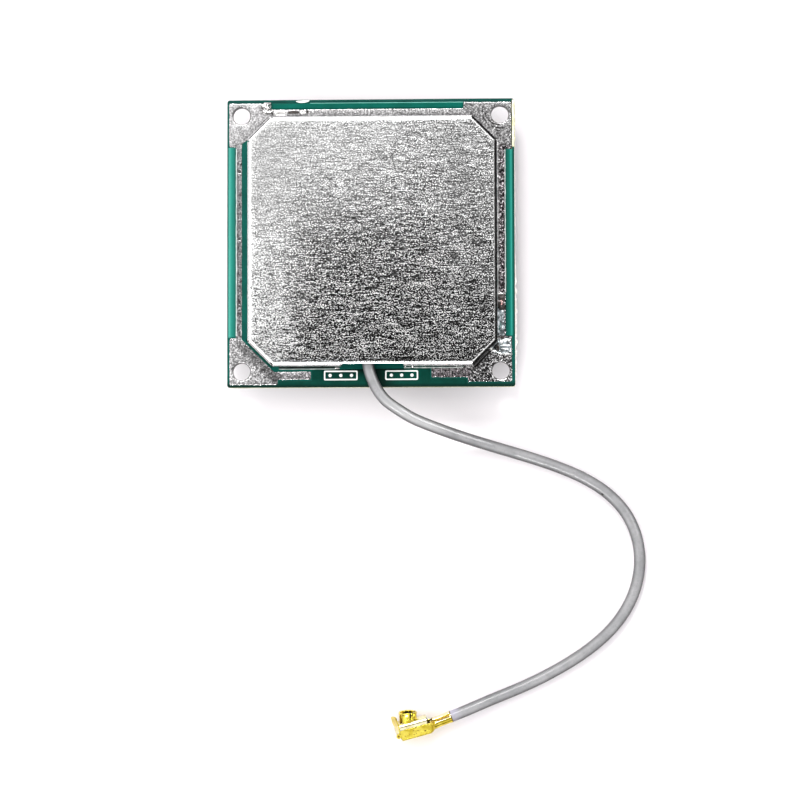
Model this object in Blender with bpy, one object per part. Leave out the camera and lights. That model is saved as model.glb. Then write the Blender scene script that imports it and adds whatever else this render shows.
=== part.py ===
"""Satellite-navigation antenna module, lying face down with its shield can up.

A ceramic patch antenna is taped under a small circuit board. A tinplate can on
the board's other face covers the two-stage amplifier, and a thin coaxial lead
runs from under the can to a gold-plated snap plug that lies on the table.

Millimetres are used for every number below and are turned into metres when a
vertex is made. +Z is up, +X is to the right and the lead leaves towards -Y.
The origin is under the middle of the board, on the surface it lies on.
"""

import math

import bmesh
import bpy
import numpy as np
from mathutils import Matrix, Vector

for old in list(bpy.data.objects):
    bpy.data.objects.remove(old, do_unlink=True)

MM = 0.001

# ---------------------------------------------------------------- dimensions
GAP = 0.02                  # clearance left between pieces that touch

ELECTRODE_T = 0.05          # fired silver layer, each face of the patch
ELECTRODE_SIZE = 20.4       # radiating layer
ELECTRODE_TRIM = 2.1        # two trimmed corners that give circular polarisation
CERAMIC_SIZE = 25.0
CERAMIC_T = 4.0
GROUND_SIZE = 24.4
TAPE_SIZE = 24.0
TAPE_T = 0.2

BOARD_X = 35.0
BOARD_Y = 35.2
BOARD_T = 1.0
BOARD_CORNER_R = 0.3
HOLE_X = 15.75              # screw-hole centres
HOLE_Y = 15.65
HOLE_R = 1.1

CAN_CX, CAN_CY = 0.18, 0.07  # the can sits a little off the board's centre
CAN_X = 30.1
CAN_Y = 30.35
CAN_H = 2.4
CAN_T = 0.2                 # tinplate thickness
CAN_LEG = 2.95              # leg of the 45 degree corner
CAN_BEND_R = 0.38           # outside radius of the top fold
CAN_CORNER_R = 0.7          # outside radius between neighbouring walls
NOTCH_X0, NOTCH_X1 = -3.55, 4.0
NOTCH_H = 1.85

PIN_X, PIN_Y = 0.0, 2.6     # feed point of the patch
PIN_R = 0.4
PIN_HEAD_R = 0.95
PIN_HEAD_T = 0.2

COAX_R = 0.71
BRAID_R = 0.52
DIELECTRIC_R = 0.34
CORE_R = 0.14
COAX_X = -0.35              # where the lead runs under the can
JACKET_END_Y = -13.3

# heights of the stack
Z_CERAMIC = ELECTRODE_T + GAP
Z_GROUND = Z_CERAMIC + CERAMIC_T + GAP
Z_TAPE = Z_GROUND + ELECTRODE_T + GAP
Z_BOARD = Z_TAPE + TAPE_T + GAP
Z_TOP = Z_BOARD + BOARD_T               # component side of the board
Z_CAN = Z_TOP + GAP
Z_LEAD = Z_TOP + GAP + COAX_R + 0.01    # axis of the lead while on the board
Z_TABLE = COAX_R + 0.03                 # axis of the lead while on the table

# snap plug: x runs back towards the lead, y out of its socket, z across it
PLUG_AT = (3.25, -59.05, 1.585)
PLUG_TURN = 15.0
PLUG_ROLL = 10.0
PLUG_SHEET = 0.15
PLUG_HALF_W = 1.35
PLUG_LEN = 3.85
PLUG_BACK = -1.30           # outer face of the folded cover
PLUG_RIM_STEP = 0.02        # top edge of the cover's side walls
PLUG_FLANGE = 0.80          # outer face of the flange that carries the socket
SOCKET_X = 1.25
SOCKET_R = 1.075
SOCKET_H = 1.07
SOCKET_LEAN = 10.0          # the socket is bent a little towards the lead
BARREL_X = 4.15
BARREL_Y = -0.40
BARREL_LEN = 2.3
BARREL_R = 0.76
BARREL_BEND = 6.5           # the crimp is bent a little off the plug's line


# ------------------------------------------------------------------ materials
def material(name, color, rough, metal):
    m = bpy.data.materials.new(name)
    m.use_nodes = True
    b = m.node_tree.nodes["Principled BSDF"]
    b.inputs["Base Color"].default_value = (color[0], color[1], color[2], 1.0)
    b.inputs["Roughness"].default_value = rough
    b.inputs["Metallic"].default_value = metal
    m.diffuse_color = (color[0], color[1], color[2], 1.0)
    return m


# ------------------------------------------------------------ mesh-made pieces
def finish(name, bm, mat, smooth=None, guide=False):
    """Turn a bmesh in millimetres into a named object in metres."""
    bmesh.ops.recalc_face_normals(bm, faces=bm.faces[:])
    for v in bm.verts:
        v.co *= MM
    me = bpy.data.meshes.new(name)
    bm.to_mesh(me)
    bm.free()
    if mat is not None:
        me.materials.append(mat)
    if smooth is not None:
        me.shade_smooth()
        me.set_sharp_from_angle(angle=math.radians(smooth))
    ob = bpy.data.objects.new(name, me)
    bpy.context.scene.collection.objects.link(ob)
    if guide:
        ob.hide_render = True
        ob.display_type = "WIRE"
    return ob


def loft(rings, closed=False):
    """Bridge rings of equal length. Open lofts get flat end faces."""
    bm = bmesh.new()
    rows = [[bm.verts.new(p) for p in ring] for ring in rings]
    n = len(rows[0])
    pairs = list(zip(rows, rows[1:]))
    if closed:
        pairs.append((rows[-1], rows[0]))
    for low, high in pairs:
        for i in range(n):
            j = (i + 1) % n
            bm.faces.new((low[i], low[j], high[j], high[i]))
    if not closed:
        bm.faces.new(rows[0][::-1])
        bm.faces.new(rows[-1])
    return bm


def arc(cx, cy, r, a0, a1, seg):
    return [(cx + r * math.cos(math.radians(a0 + (a1 - a0) * i / seg)),
             cy + r * math.sin(math.radians(a0 + (a1 - a0) * i / seg))) for i in range(seg + 1)]


def rect_outline(hx, hy, r, seg, cx=0.0, cy=0.0):
    pts = []
    for sx, sy, a in ((1, 1, 0), (-1, 1, 90), (-1, -1, 180), (1, -1, 270)):
        pts += arc(cx + sx * (hx - r), cy + sy * (hy - r), r, a, a + 90, seg)
    return pts


def octagon_outline(hx, hy, leg, r, seg, cx, cy, inset=0.0):
    """Rectangle with four 45 degree corners, every corner rounded."""
    hx, hy = hx - inset, hy - inset
    leg = leg - inset * (2.0 - math.sqrt(2.0))
    r = max(r - inset, 0.08)
    corners = [(hx, -hy + leg), (hx, hy - leg), (hx - leg, hy), (-hx + leg, hy),
               (-hx, hy - leg), (-hx, -hy + leg), (-hx + leg, -hy), (hx - leg, -hy)]
    pts = []
    for i, c in enumerate(corners):
        c = Vector(c)
        back = (Vector(corners[i - 1]) - c).normalized()
        ahead = (Vector(corners[(i + 1) % 8]) - c).normalized()
        half = 0.5 * back.angle(ahead)
        mid = c + (back + ahead).normalized() * (r / math.sin(half))
        first = c + back * (r / math.tan(half)) - mid
        start = math.atan2(first.y, first.x)
        for k in range(seg + 1):
            a = start + (math.pi - 2 * half) * k / seg
            pts.append((cx + mid.x + r * math.cos(a), cy + mid.y + r * math.sin(a)))
    return pts


def prism(outline, z0, z1):
    return loft([[(x, y, z0) for x, y in outline], [(x, y, z1) for x, y in outline]])


def block(x0, x1, y0, y1, z0, z1):
    return prism([(x0, y0), (x1, y0), (x1, y1), (x0, y1)], z0, z1)


def round_ring(cx, cy, r, z, n, phase=0.0):
    return [(cx + r * math.cos(2 * math.pi * (i + phase) / n),
             cy + r * math.sin(2 * math.pi * (i + phase) / n), z) for i in range(n)]


def turned(profile, n, cx=0.0, cy=0.0, closed=False):
    """Solid of revolution about a vertical axis from (radius, height) pairs."""
    return loft([round_ring(cx, cy, r, z, n) for r, z in profile], closed=closed)


def dome(cx, cy, ax, ay, h, z0, n=20, rings=5, turn=0.0, bulge=0.8, lump=0.0):
    """Flat-bottomed mound of solder."""
    t = math.radians(turn)
    rows = []
    for k in range(rings):
        a = 0.5 * math.pi * k / rings
        row = []
        for i in range(n):
            w = 2 * math.pi * i / n
            s = math.cos(a) * (1.0 + lump * math.sin(3 * w + 1.0) + 0.6 * lump * math.cos(5 * w))
            x, y = ax * s * math.cos(w), ay * s * math.sin(w)
            row.append((cx + x * math.cos(t) - y * math.sin(t),
                        cy + x * math.sin(t) + y * math.cos(t),
                        z0 + h * math.sin(a) ** bulge))
        rows.append(row)
    bm = loft(rows)
    top = [f for f in bm.faces if len(f.verts) == n and all(v.co.z > z0 + 1e-6 for v in f.verts)][0]
    bmesh.ops.poke(bm, faces=[top])
    apex = max(bm.verts, key=lambda v: len(v.link_edges))
    apex.co.z = z0 + h
    return bm


def sweep(path, r, n):
    """Round bar along a path, with flat ends."""
    path = [Vector(p) for p in path]
    rows = []
    side = None
    for i, p in enumerate(path):
        d = (path[min(i + 1, len(path) - 1)] - path[max(i - 1, 0)]).normalized()
        if side is None:
            side = d.cross(Vector((0, 0, 1)))
            if side.length < 1e-6:
                side = Vector((1, 0, 0))
        side = (side - d * side.dot(d)).normalized()
        up = side.cross(d)
        rows.append([p + side * (r * math.cos(2 * math.pi * k / n)) + up * (r * math.sin(2 * math.pi * k / n))
                     for k in range(n)])
    return loft(rows)


def boolean(target, tool, operation):
    m = target.modifiers.new(operation.lower() + "_" + tool.name, "BOOLEAN")
    m.operation = operation
    m.solver = "EXACT"
    m.object = tool
    return m


def place(ob, x, y, z, turn=0.0):
    ob.location = (x * MM, y * MM, z * MM)
    ob.rotation_euler = (0.0, 0.0, math.radians(turn))
    return ob


# ------------------------------------------------------------------- the board
green = material("board_green", (0.012, 0.16, 0.115), 0.35, 0.0)
tin = material("tinplate", (0.62, 0.62, 0.61), 0.42, 1.0)
solder_metal = material("solder", (0.70, 0.70, 0.69), 0.22, 1.0)
ceramic = material("patch_ceramic", (0.60, 0.48, 0.36), 0.6, 0.0)
silver = material("fired_silver", (0.78, 0.77, 0.74), 0.4, 1.0)
tape = material("bonding_tape", (0.75, 0.75, 0.72), 0.7, 0.0)
pin_metal = material("tinned_pin", (0.72, 0.71, 0.68), 0.3, 1.0)
black_mould = material("black_moulding", (0.02, 0.02, 0.022), 0.55, 0.0)
white_ceramic = material("filter_ceramic", (0.70, 0.66, 0.58), 0.5, 0.0)
cap_brown = material("capacitor_brown", (0.36, 0.25, 0.16), 0.5, 0.0)
resistor_black = material("resistor_black", (0.03, 0.03, 0.035), 0.4, 0.0)
coil_blue = material("inductor_blue", (0.10, 0.17, 0.28), 0.5, 0.0)
jacket_grey = material("jacket_grey", (0.52, 0.52, 0.53), 0.35, 0.0)
braid_metal = material("tinned_braid", (0.66, 0.65, 0.62), 0.45, 1.0)
dielectric_white = material("dielectric_white", (0.85, 0.85, 0.83), 0.4, 0.0)
core_metal = material("silvered_core", (0.80, 0.79, 0.76), 0.25, 1.0)
gold = material("gold_plate", (0.93, 0.72, 0.20), 0.25, 1.0)

pcb = finish("pcb", prism(rect_outline(BOARD_X / 2, BOARD_Y / 2, BOARD_CORNER_R, 3), Z_BOARD, Z_TOP), green)
drills = [(sx * HOLE_X, sy * HOLE_Y, HOLE_R, 32) for sx in (-1, 1) for sy in (-1, 1)]
drills.append((PIN_X, PIN_Y, PIN_R + 0.12, 20))
for k, (x, y, r, n) in enumerate(drills):
    tool = finish("drill_%d" % (k + 1), turned([(r, Z_BOARD - 1), (r, Z_TOP + 1)], n, x, y), None, guide=True)
    boolean(pcb, tool, "DIFFERENCE")


# -------------------------------------------------------------- the shield can
def can_ring(inset, z):
    pts = octagon_outline(CAN_X / 2, CAN_Y / 2, CAN_LEG, CAN_CORNER_R, 3, CAN_CX, CAN_CY, inset)
    return [(x, y, z) for x, y in pts]


def can_shell():
    """One folded sheet: outer skin up and over, then the inner skin back down."""
    z_top = Z_CAN + CAN_H
    rings = [can_ring(0.0, Z_CAN)]
    steps = 4
    for k in range(steps + 1):
        a = 0.5 * math.pi * k / steps
        rings.append(can_ring(CAN_BEND_R * (1 - math.cos(a)), z_top - CAN_BEND_R * (1 - math.sin(a))))
    inner_r = CAN_BEND_R - CAN_T
    inner = [can_ring(CAN_T, Z_CAN)]
    for k in range(steps + 1):
        a = 0.5 * math.pi * k / steps
        inner.append(can_ring(CAN_T + inner_r * (1 - math.cos(a)), z_top - CAN_T - inner_r * (1 - math.sin(a))))
    bm = bmesh.new()
    out = [[bm.verts.new(p) for p in r] for r in rings]
    ins = [[bm.verts.new(p) for p in r] for r in inner]
    n = len(out[0])
    for rows in (out, ins):
        for low, high in zip(rows, rows[1:]):
            for i in range(n):
                j = (i + 1) % n
                bm.faces.new((low[i], low[j], high[j], high[i]))
        bm.faces.new(rows[-1])
    for i in range(n):
        j = (i + 1) % n
        bm.faces.new((out[0][i], ins[0][i], ins[0][j], out[0][j]))
    return bm


shield_can = finish("shield_can", can_shell(), tin, smooth=40)
notch = finish("notch_cutter",
               block(NOTCH_X0, NOTCH_X1, CAN_CY - CAN_Y / 2 - 0.5, CAN_CY - CAN_Y / 2 + 0.8,
                     Z_CAN - 0.5, Z_CAN + NOTCH_H), None, guide=True)
boolean(shield_can, notch, "DIFFERENCE")

# hand-soldered tacks between the can and the board's tinned pads
can_clear = finish("can_clearance",
                   prism([(p[0], p[1]) for p in can_ring(-GAP, 0.0)], Z_TOP - 1, Z_TOP + 4), None, guide=True)
TACKS = (
    # name, centre, half sizes, height, turn, unevenness
    ("solder_top_left", -12.75, 16.45, 0.80, 0.95, 0.50, -35.0, 0.10),
    ("solder_top_edge", -8.35, 15.75, 0.85, 0.60, 0.28, 0.0, 0.08),
    ("solder_right_side", 15.55, -9.30, 0.62, 2.35, 0.80, 2.0, 0.04),
    ("solder_bottom_right", 15.95, -13.05, 1.25, 0.72, 0.55, 12.0, 0.10),
)
for name, cx, cy, ax, ay, h, turn, lump in TACKS:
    ob = finish(name, dome(cx, cy, ax, ay, h, Z_TOP + GAP, turn=turn, lump=lump), solder_metal, smooth=50)
    boolean(ob, can_clear, "DIFFERENCE")


# ------------------------------------------------------------ the patch antenna
def trimmed_square(size, trim):
    h = size / 2
    return [(h, -h), (h, h - trim), (h - trim, h), (-h, h), (-h, -h + trim), (-h + trim, -h)]


def pin_tool(name, r, z0, z1, n=24):
    return finish(name, turned([(r, z0), (r, z1)], n, PIN_X, PIN_Y), None, guide=True)


patch_electrode = finish("patch_electrode", prism(trimmed_square(ELECTRODE_SIZE, ELECTRODE_TRIM), 0.0, ELECTRODE_T),
                         silver)
boolean(patch_electrode, pin_tool("electrode_hole", PIN_HEAD_R + 0.03, -1.0, 1.0), "DIFFERENCE")

patch_ceramic = finish("patch_ceramic",
                       prism(rect_outline(CERAMIC_SIZE / 2, CERAMIC_SIZE / 2, 0.3, 3), Z_CERAMIC,
                             Z_CERAMIC + CERAMIC_T), ceramic)
seat_tool = finish("pin_seat", turned([(PIN_HEAD_R + 0.05, -1.0), (PIN_HEAD_R + 0.05, PIN_HEAD_T + 0.06),
                                       (PIN_R + 0.15, PIN_HEAD_T + 0.06), (PIN_R + 0.15, Z_GROUND + 1)],
                                      24, PIN_X, PIN_Y), None, guide=True)
boolean(patch_ceramic, seat_tool, "DIFFERENCE")

patch_ground = finish("patch_ground_electrode",
                      prism(rect_outline(GROUND_SIZE / 2, GROUND_SIZE / 2, 0.3, 2), Z_GROUND,
                            Z_GROUND + ELECTRODE_T), silver)
boolean(patch_ground, pin_tool("ground_hole", 1.3, Z_GROUND - 1, Z_GROUND + 1), "DIFFERENCE")

adhesive = finish("adhesive_pad", prism(rect_outline(TAPE_SIZE / 2, TAPE_SIZE / 2, 0.3, 2), Z_TAPE,
                                        Z_TAPE + TAPE_T), tape)
boolean(adhesive, pin_tool("tape_hole", 1.3, Z_TAPE - 1, Z_TAPE + 1), "DIFFERENCE")

finish("feed_pin", turned([(PIN_HEAD_R - 0.05, 0.005), (PIN_HEAD_R, 0.05), (PIN_HEAD_R, PIN_HEAD_T),
                           (PIN_R, PIN_HEAD_T), (PIN_R, Z_TOP + 0.55), (PIN_R - 0.1, Z_TOP + 0.65)],
                          20, PIN_X, PIN_Y), pin_metal, smooth=40)
finish("feed_pin_solder", turned([(PIN_R + GAP, Z_TOP + GAP), (0.92, Z_TOP + GAP), (0.78, Z_TOP + 0.12),
                                  (0.58, Z_TOP + 0.28), (PIN_R + 0.06, Z_TOP + 0.48), (PIN_R + GAP, Z_TOP + 0.48)],
                                 20, PIN_X, PIN_Y, closed=True), solder_metal, smooth=50)


# -------------------------------------------------- the amplifier under the can
def chip(name, x, y, turn, length, width, height, mat, end=0.22, step=0.03):
    """Two-ended chip part: terminations stand a little proud of the body."""
    def ring(px, inset):
        w = width / 2 - inset
        return [(px, -w, inset), (px, w, inset), (px, w, height - inset), (px, -w, height - inset)]
    h = length / 2
    rows = [ring(-h, 0), ring(-h + end, 0), ring(-h + end, step),
            ring(h - end, step), ring(h - end, 0), ring(h, 0)]
    return place(finish(name, loft(rows), mat), x, y, Z_TOP + GAP, turn)


def transistor(name, x, y, turn):
    """Four-lead moulded package with gull-wing legs."""
    body = finish(name, loft([
        [(-0.94, -0.56, 0.08), (0.94, -0.56, 0.08), (0.94, 0.56, 0.08), (-0.94, 0.56, 0.08)],
        [(-1.0, -0.625, 0.50), (1.0, -0.625, 0.50), (1.0, 0.625, 0.50), (-1.0, 0.625, 0.50)],
        [(-0.92, -0.54, 0.95), (0.92, -0.54, 0.95), (0.92, 0.54, 0.95), (-0.92, 0.54, 0.95)]]), black_mould)
    leg = [(0.40, 0.42), (0.72, 0.42), (0.84, 0.00), (1.08, 0.00), (1.08, 0.13), (0.93, 0.13), (0.81, 0.55), (0.40, 0.55)]
    for k, (px, side) in enumerate(((-0.65, -1), (0.65, -1), (-0.65, 1), (0.65, 1))):
        w = 0.2 if k == 0 else 0.15
        bm = loft([[(px - w, side * a, b) for a, b in leg], [(px + w, side * a, b) for a, b in leg]])
        tool = finish("%s_leg_%d" % (name, k + 1), bm, None, guide=True)
        place(tool, x, y, Z_TOP + GAP, turn)
        boolean(body, tool, "UNION")
    return place(body, x, y, Z_TOP + GAP, turn)


def can_filter(name, x, y, turn):
    """Square surface-wave filter: ceramic tray with a metal lid."""
    def ring(h, z):
        return [(-h, -h, z), (h, -h, z), (h, h, z), (-h, h, z)]
    return place(finish(name, loft([ring(1.5, 0.0), ring(1.5, 0.85), ring(1.32, 0.85), ring(1.32, 1.05)]),
                        white_ceramic), x, y, Z_TOP + GAP, turn)


chip("input_coupling_capacitor", 0.0, 1.05, 90, 1.0, 0.5, 0.5, cap_brown)
chip("input_match_inductor", 1.55, 0.55, 0, 1.0, 0.5, 0.5, coil_blue)
transistor("first_amplifier", 0.0, -0.95, 0)
can_filter("saw_filter", 0.0, -3.85, 0)
transistor("second_amplifier", 0.0, -6.75, 0)
chip("output_coupling_capacitor", COAX_X, -8.75, 90, 1.0, 0.5, 0.5, cap_brown)
chip("bias_choke", 1.75, -8.75, 0, 1.6, 0.8, 0.8, coil_blue, end=0.3)
chip("supply_bypass_capacitor", 3.75, -8.45, 90, 1.6, 0.8, 0.8, cap_brown, end=0.3)
chip("supply_resistor", 3.15, -6.35, 90, 1.0, 0.5, 0.35, resistor_black)
chip("first_bias_resistor", 2.25, -1.05, 90, 1.0, 0.5, 0.35, resistor_black)
chip("second_bias_resistor", 2.25, -6.35, 90, 1.0, 0.5, 0.35, resistor_black)
chip("first_bias_capacitor", 3.15, -1.05, 90, 1.0, 0.5, 0.5, cap_brown)

# ------------------------------------------------- the lead's end under the can
bm = turned([(BRAID_R - 0.16, 0.03), (BRAID_R, 0.03), (BRAID_R, 1.35), (BRAID_R - 0.16, 1.35)], 16, closed=True)
bmesh.ops.rotate(bm, verts=bm.verts, cent=(0, 0, 0), matrix=Matrix.Rotation(math.radians(-90), 3, "X"))
bmesh.ops.translate(bm, verts=bm.verts, vec=(COAX_X, JACKET_END_Y, Z_LEAD))
finish("coax_braid", bm, braid_metal, smooth=40)

bm = turned([(CORE_R + GAP, 0.10), (DIELECTRIC_R, 0.10), (DIELECTRIC_R, 2.15), (CORE_R + GAP, 2.15)], 12, closed=True)
bmesh.ops.rotate(bm, verts=bm.verts, cent=(0, 0, 0), matrix=Matrix.Rotation(math.radians(-90), 3, "X"))
bmesh.ops.translate(bm, verts=bm.verts, vec=(COAX_X, JACKET_END_Y, Z_LEAD))
finish("coax_dielectric", bm, dielectric_white, smooth=40)

core_path = [(COAX_X, JACKET_END_Y + 0.15, Z_LEAD), (COAX_X, JACKET_END_Y + 2.3, Z_LEAD)]
for k in range(1, 7):
    t = k / 6
    core_path.append((COAX_X, JACKET_END_Y + 2.3 + 0.95 * t, Z_LEAD - 0.46 * (3 * t * t - 2 * t ** 3)))
finish("coax_core", sweep(core_path, CORE_R, 10), core_metal, smooth=40)

braid_tool = finish("braid_clearance", sweep([(COAX_X, -15, Z_LEAD), (COAX_X, -10, Z_LEAD)], BRAID_R + GAP, 24),
                    None, guide=True)
ob = finish("braid_solder", dome(COAX_X, JACKET_END_Y + 0.70, 1.25, 0.55, 0.85, Z_TOP + GAP, lump=0.04),
            solder_metal, smooth=50)
boolean(ob, braid_tool, "DIFFERENCE")
core_tool = finish("core_clearance", sweep(core_path + [(COAX_X, JACKET_END_Y + 3.26, Z_LEAD - 0.46)],
                                           CORE_R + GAP, 12), None, guide=True)
ob = finish("core_solder", dome(COAX_X, JACKET_END_Y + 3.3, 0.42, 0.48, 0.46, Z_TOP + GAP), solder_metal, smooth=50)
boolean(ob, core_tool, "DIFFERENCE")

# --------------------------------------------------------------- the snap plug
turn, roll = math.radians(PLUG_TURN), math.radians(PLUG_ROLL)
back_dir = Vector((math.cos(turn), math.sin(turn), 0.0))
flat_dir = Vector((-math.sin(turn), math.cos(turn), 0.0))
socket_dir = flat_dir * math.cos(roll) + Vector((0, 0, 1)) * math.sin(roll)
across_dir = back_dir.cross(socket_dir)
plug_rest = Matrix((back_dir, socket_dir, across_dir)).transposed().to_4x4()
plug_rest.translation = Vector(PLUG_AT) * MM
plug_frame = bpy.data.objects.new("plug_frame", None)
plug_frame.matrix_world = plug_rest
bpy.context.scene.collection.objects.link(plug_frame)


def in_plug(ob):
    ob.parent = plug_frame
    return ob


def plug_tool(name, bm):
    return in_plug(finish(name, bm, None, guide=True))


def rolled_sheet(path, thick, half_w):
    """A bent strip: an open centre line in x-y, given a thickness and a width in z."""
    pts = [Vector(p) for p in path]
    left, right = [], []
    for i, p in enumerate(pts):
        d = (pts[min(i + 1, len(pts) - 1)] - pts[max(i - 1, 0)]).normalized()
        n = Vector((-d.y, d.x))
        left.append(p + n * thick / 2)
        right.append(p - n * thick / 2)
    outline = [(q.x, q.y) for q in left + right[::-1]]
    return loft([[(x, y, -half_w) for x, y in outline], [(x, y, half_w) for x, y in outline]])


S = PLUG_SHEET
W = PLUG_HALF_W
# cover and its two side walls: a channel open towards the socket side
channel = [(-W, PLUG_RIM_STEP), (-W, PLUG_BACK + 0.18), (-W + 0.18, PLUG_BACK), (W - 0.18, PLUG_BACK),
           (W, PLUG_BACK + 0.18), (W, PLUG_RIM_STEP), (W - S, PLUG_RIM_STEP), (W - S, PLUG_BACK + 0.24),
           (W - 0.24, PLUG_BACK + S), (-W + 0.24, PLUG_BACK + S), (-W + S, PLUG_BACK + 0.24), (-W + S, PLUG_RIM_STEP)]
plug_shell = in_plug(finish("plug_shell", loft([[(0.0, y, z) for z, y in channel],
                                                [(PLUG_LEN, y, z) for z, y in channel]]), gold, smooth=35))
# the front strap that joins the cover to the flange
strap = [(0.25, PLUG_BACK + S / 2), (0.0, PLUG_BACK + S / 2), (-0.22, PLUG_BACK + 0.16), (-0.36, PLUG_BACK + 0.40),
         (-0.42, -0.45), (-0.40, 0.05), (-0.30, 0.42), (-0.12, 0.64), (0.10, PLUG_FLANGE - S / 2),
         (0.35, PLUG_FLANGE - S / 2)]
boolean(plug_shell, plug_tool("front_strap", rolled_sheet(strap, S, 0.70)), "UNION")
# a flared tongue in front of the socket
tongue = [(-0.30, 0.30), (-0.42, 0.70), (-0.52, 1.15), (-0.56, 1.60)]
boolean(plug_shell, plug_tool("front_tongue", rolled_sheet(tongue, S, 0.55)), "UNION")
# the flange with its own low side walls
inner_w = W - S - 0.05
flange = [(-inner_w, -0.45), (-inner_w, PLUG_FLANGE - 0.15), (-inner_w + 0.15, PLUG_FLANGE),
          (inner_w - 0.15, PLUG_FLANGE), (inner_w, PLUG_FLANGE - 0.15), (inner_w, -0.45), (inner_w - S, -0.45),
          (inner_w - S, PLUG_FLANGE - 0.21), (inner_w - 0.21, PLUG_FLANGE - S), (-inner_w + 0.21, PLUG_FLANGE - S),
          (-inner_w + S, PLUG_FLANGE - 0.21), (-inner_w + S, -0.45)]
boolean(plug_shell, plug_tool("flange_channel", loft([[(0.12, y, z) for z, y in flange],
                                                      [(3.40, y, z) for z, y in flange]])), "UNION")
# the round socket
lean = Matrix.Translation((SOCKET_X, PLUG_FLANGE, 0)) @ Matrix.Rotation(math.radians(-SOCKET_LEAN), 4, "Z")
stand = Matrix.Rotation(math.radians(-90), 4, "X")


def socket_turned(profile, n, closed=True):
    bm = turned(profile, n, closed=closed)
    bmesh.ops.transform(bm, matrix=lean @ stand, verts=bm.verts)
    return bm


well = SOCKET_R - S
boolean(plug_shell, plug_tool("socket_wall", socket_turned(
    [(SOCKET_R, -0.30), (SOCKET_R, SOCKET_H - 0.28), (SOCKET_R + 0.04, SOCKET_H - 0.16),
     (SOCKET_R, SOCKET_H - 0.03), (SOCKET_R - 0.05, SOCKET_H)], 32, closed=False)), "UNION")
boolean(plug_shell, plug_tool("socket_bore", socket_turned([(well, -0.62), (well, SOCKET_H + 0.3)], 32,
                                                           closed=False)), "DIFFERENCE")
for k in range(3):
    bm = block(-0.08, 0.08, 0.25, SOCKET_H + 0.3, 0.6, 1.5)
    spin = Matrix.Rotation(math.radians(16 + 120 * k), 4, "Y")
    bmesh.ops.transform(bm, matrix=lean @ spin, verts=bm.verts)
    boolean(plug_shell, plug_tool("socket_slit_%d" % (k + 1), bm), "DIFFERENCE")
# neck and crimped barrel
bend = Matrix.Translation((BARREL_X, BARREL_Y, 0)) @ Matrix.Rotation(math.radians(BARREL_BEND), 4, "Z")
neck = [(-0.80, -0.25), (-0.80, PLUG_BACK + 0.25), (-0.55, PLUG_BACK + 0.04), (0.55, PLUG_BACK + 0.04),
        (0.80, PLUG_BACK + 0.25), (0.80, -0.25), (0.65, -0.25), (0.65, PLUG_BACK + 0.30), (0.48, PLUG_BACK + 0.19),
        (-0.48, PLUG_BACK + 0.19), (-0.65, PLUG_BACK + 0.30), (-0.65, -0.25)]
boolean(plug_shell, plug_tool("neck_channel", loft([[(PLUG_LEN - 0.3, y, z) for z, y in neck],
                                                    [(BARREL_X + 0.2, y + 0.12, z) for z, y in neck]])), "UNION")


def along_barrel(profile, n, closed):
    bm = turned(profile, n, closed=closed)
    bmesh.ops.transform(bm, matrix=bend @ Matrix.Rotation(math.radians(90), 4, "Y"), verts=bm.verts)
    return bm


boolean(plug_shell, plug_tool("crimp_barrel", along_barrel(
    [(BRAID_R + GAP, 0.0), (BARREL_R - 0.05, 0.0), (BARREL_R, 0.06), (BARREL_R, BARREL_LEN - 0.06),
     (BARREL_R - 0.05, BARREL_LEN), (BRAID_R + GAP, BARREL_LEN)], 24, True)), "UNION")
# the two crimp wings meet in a shallow seam
bm = block(0.25, BARREL_LEN + 0.3, BARREL_R - 0.10, BARREL_R + 0.3, -0.05, 0.05)
bmesh.ops.transform(bm, matrix=bend @ Matrix.Rotation(math.radians(65), 4, "X"), verts=bm.verts)
boolean(plug_shell, plug_tool("crimp_seam", bm), "DIFFERENCE")

# the insulator inside the shell and socket
half = inner_w - S - GAP - 0.02
base_in = PLUG_BACK + S + 0.10
insulator = in_plug(finish("plug_insulator", block(0.20, 3.30, base_in, 0.26, -half, half),
                           black_mould))
boolean(insulator, plug_tool("insulator_post", socket_turned(
    [(well - 0.05, -0.55), (well - 0.05, 0.10), (0.56, 0.10), (0.52, SOCKET_H - 0.25)], 24, closed=False)), "UNION")
boolean(insulator, plug_tool("contact_well", socket_turned([(0.30, -0.60), (0.30, SOCKET_H + 0.3)], 16,
                                                           closed=False)), "DIFFERENCE")
contact_profile = [(0.27, -0.56), (0.27, SOCKET_H - 0.36), (0.17, SOCKET_H - 0.30), (0.15, -0.36)]
plug_contact = in_plug(finish("plug_contact", socket_turned(contact_profile, 16, closed=False), gold, smooth=40))

in_plug(finish("coax_braid_plug_end", along_barrel([(BRAID_R - 0.02, -0.10), (BRAID_R - 0.02, BARREL_LEN - 0.05)],
                                                   16, False), braid_metal, smooth=40))

# --------------------------------------------------------------- the free lead
plug_matrix = plug_rest.copy()
plug_matrix.translation = Vector(PLUG_AT)


def barrel_point(d):
    return plug_matrix @ (bend @ Vector((d, 0, 0)))


# places the lead passes on the board and on the table, from the can to the plug
ROUTE = [(COAX_X, JACKET_END_Y), (COAX_X, -14.6), (-0.05, -16.05), (0.70, -17.80), (1.85, -19.30), (3.00, -20.15),
         (4.90, -21.30), (7.05, -22.20), (9.30, -23.00), (13.80, -24.40), (18.40, -25.75), (22.95, -27.30),
         (27.25, -29.40), (30.75, -32.65), (32.45, -37.00), (32.10, -41.70), (29.95, -45.90), (26.50, -49.25),
         (22.45, -51.85), (18.20, -53.95), (13.80, -55.75)]
mouth = barrel_point(BARREL_LEN + 0.03)
behind = barrel_point(BARREL_LEN + 1.6)
ROUTE += [(behind.x, behind.y), (mouth.x, mouth.y)]


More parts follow.
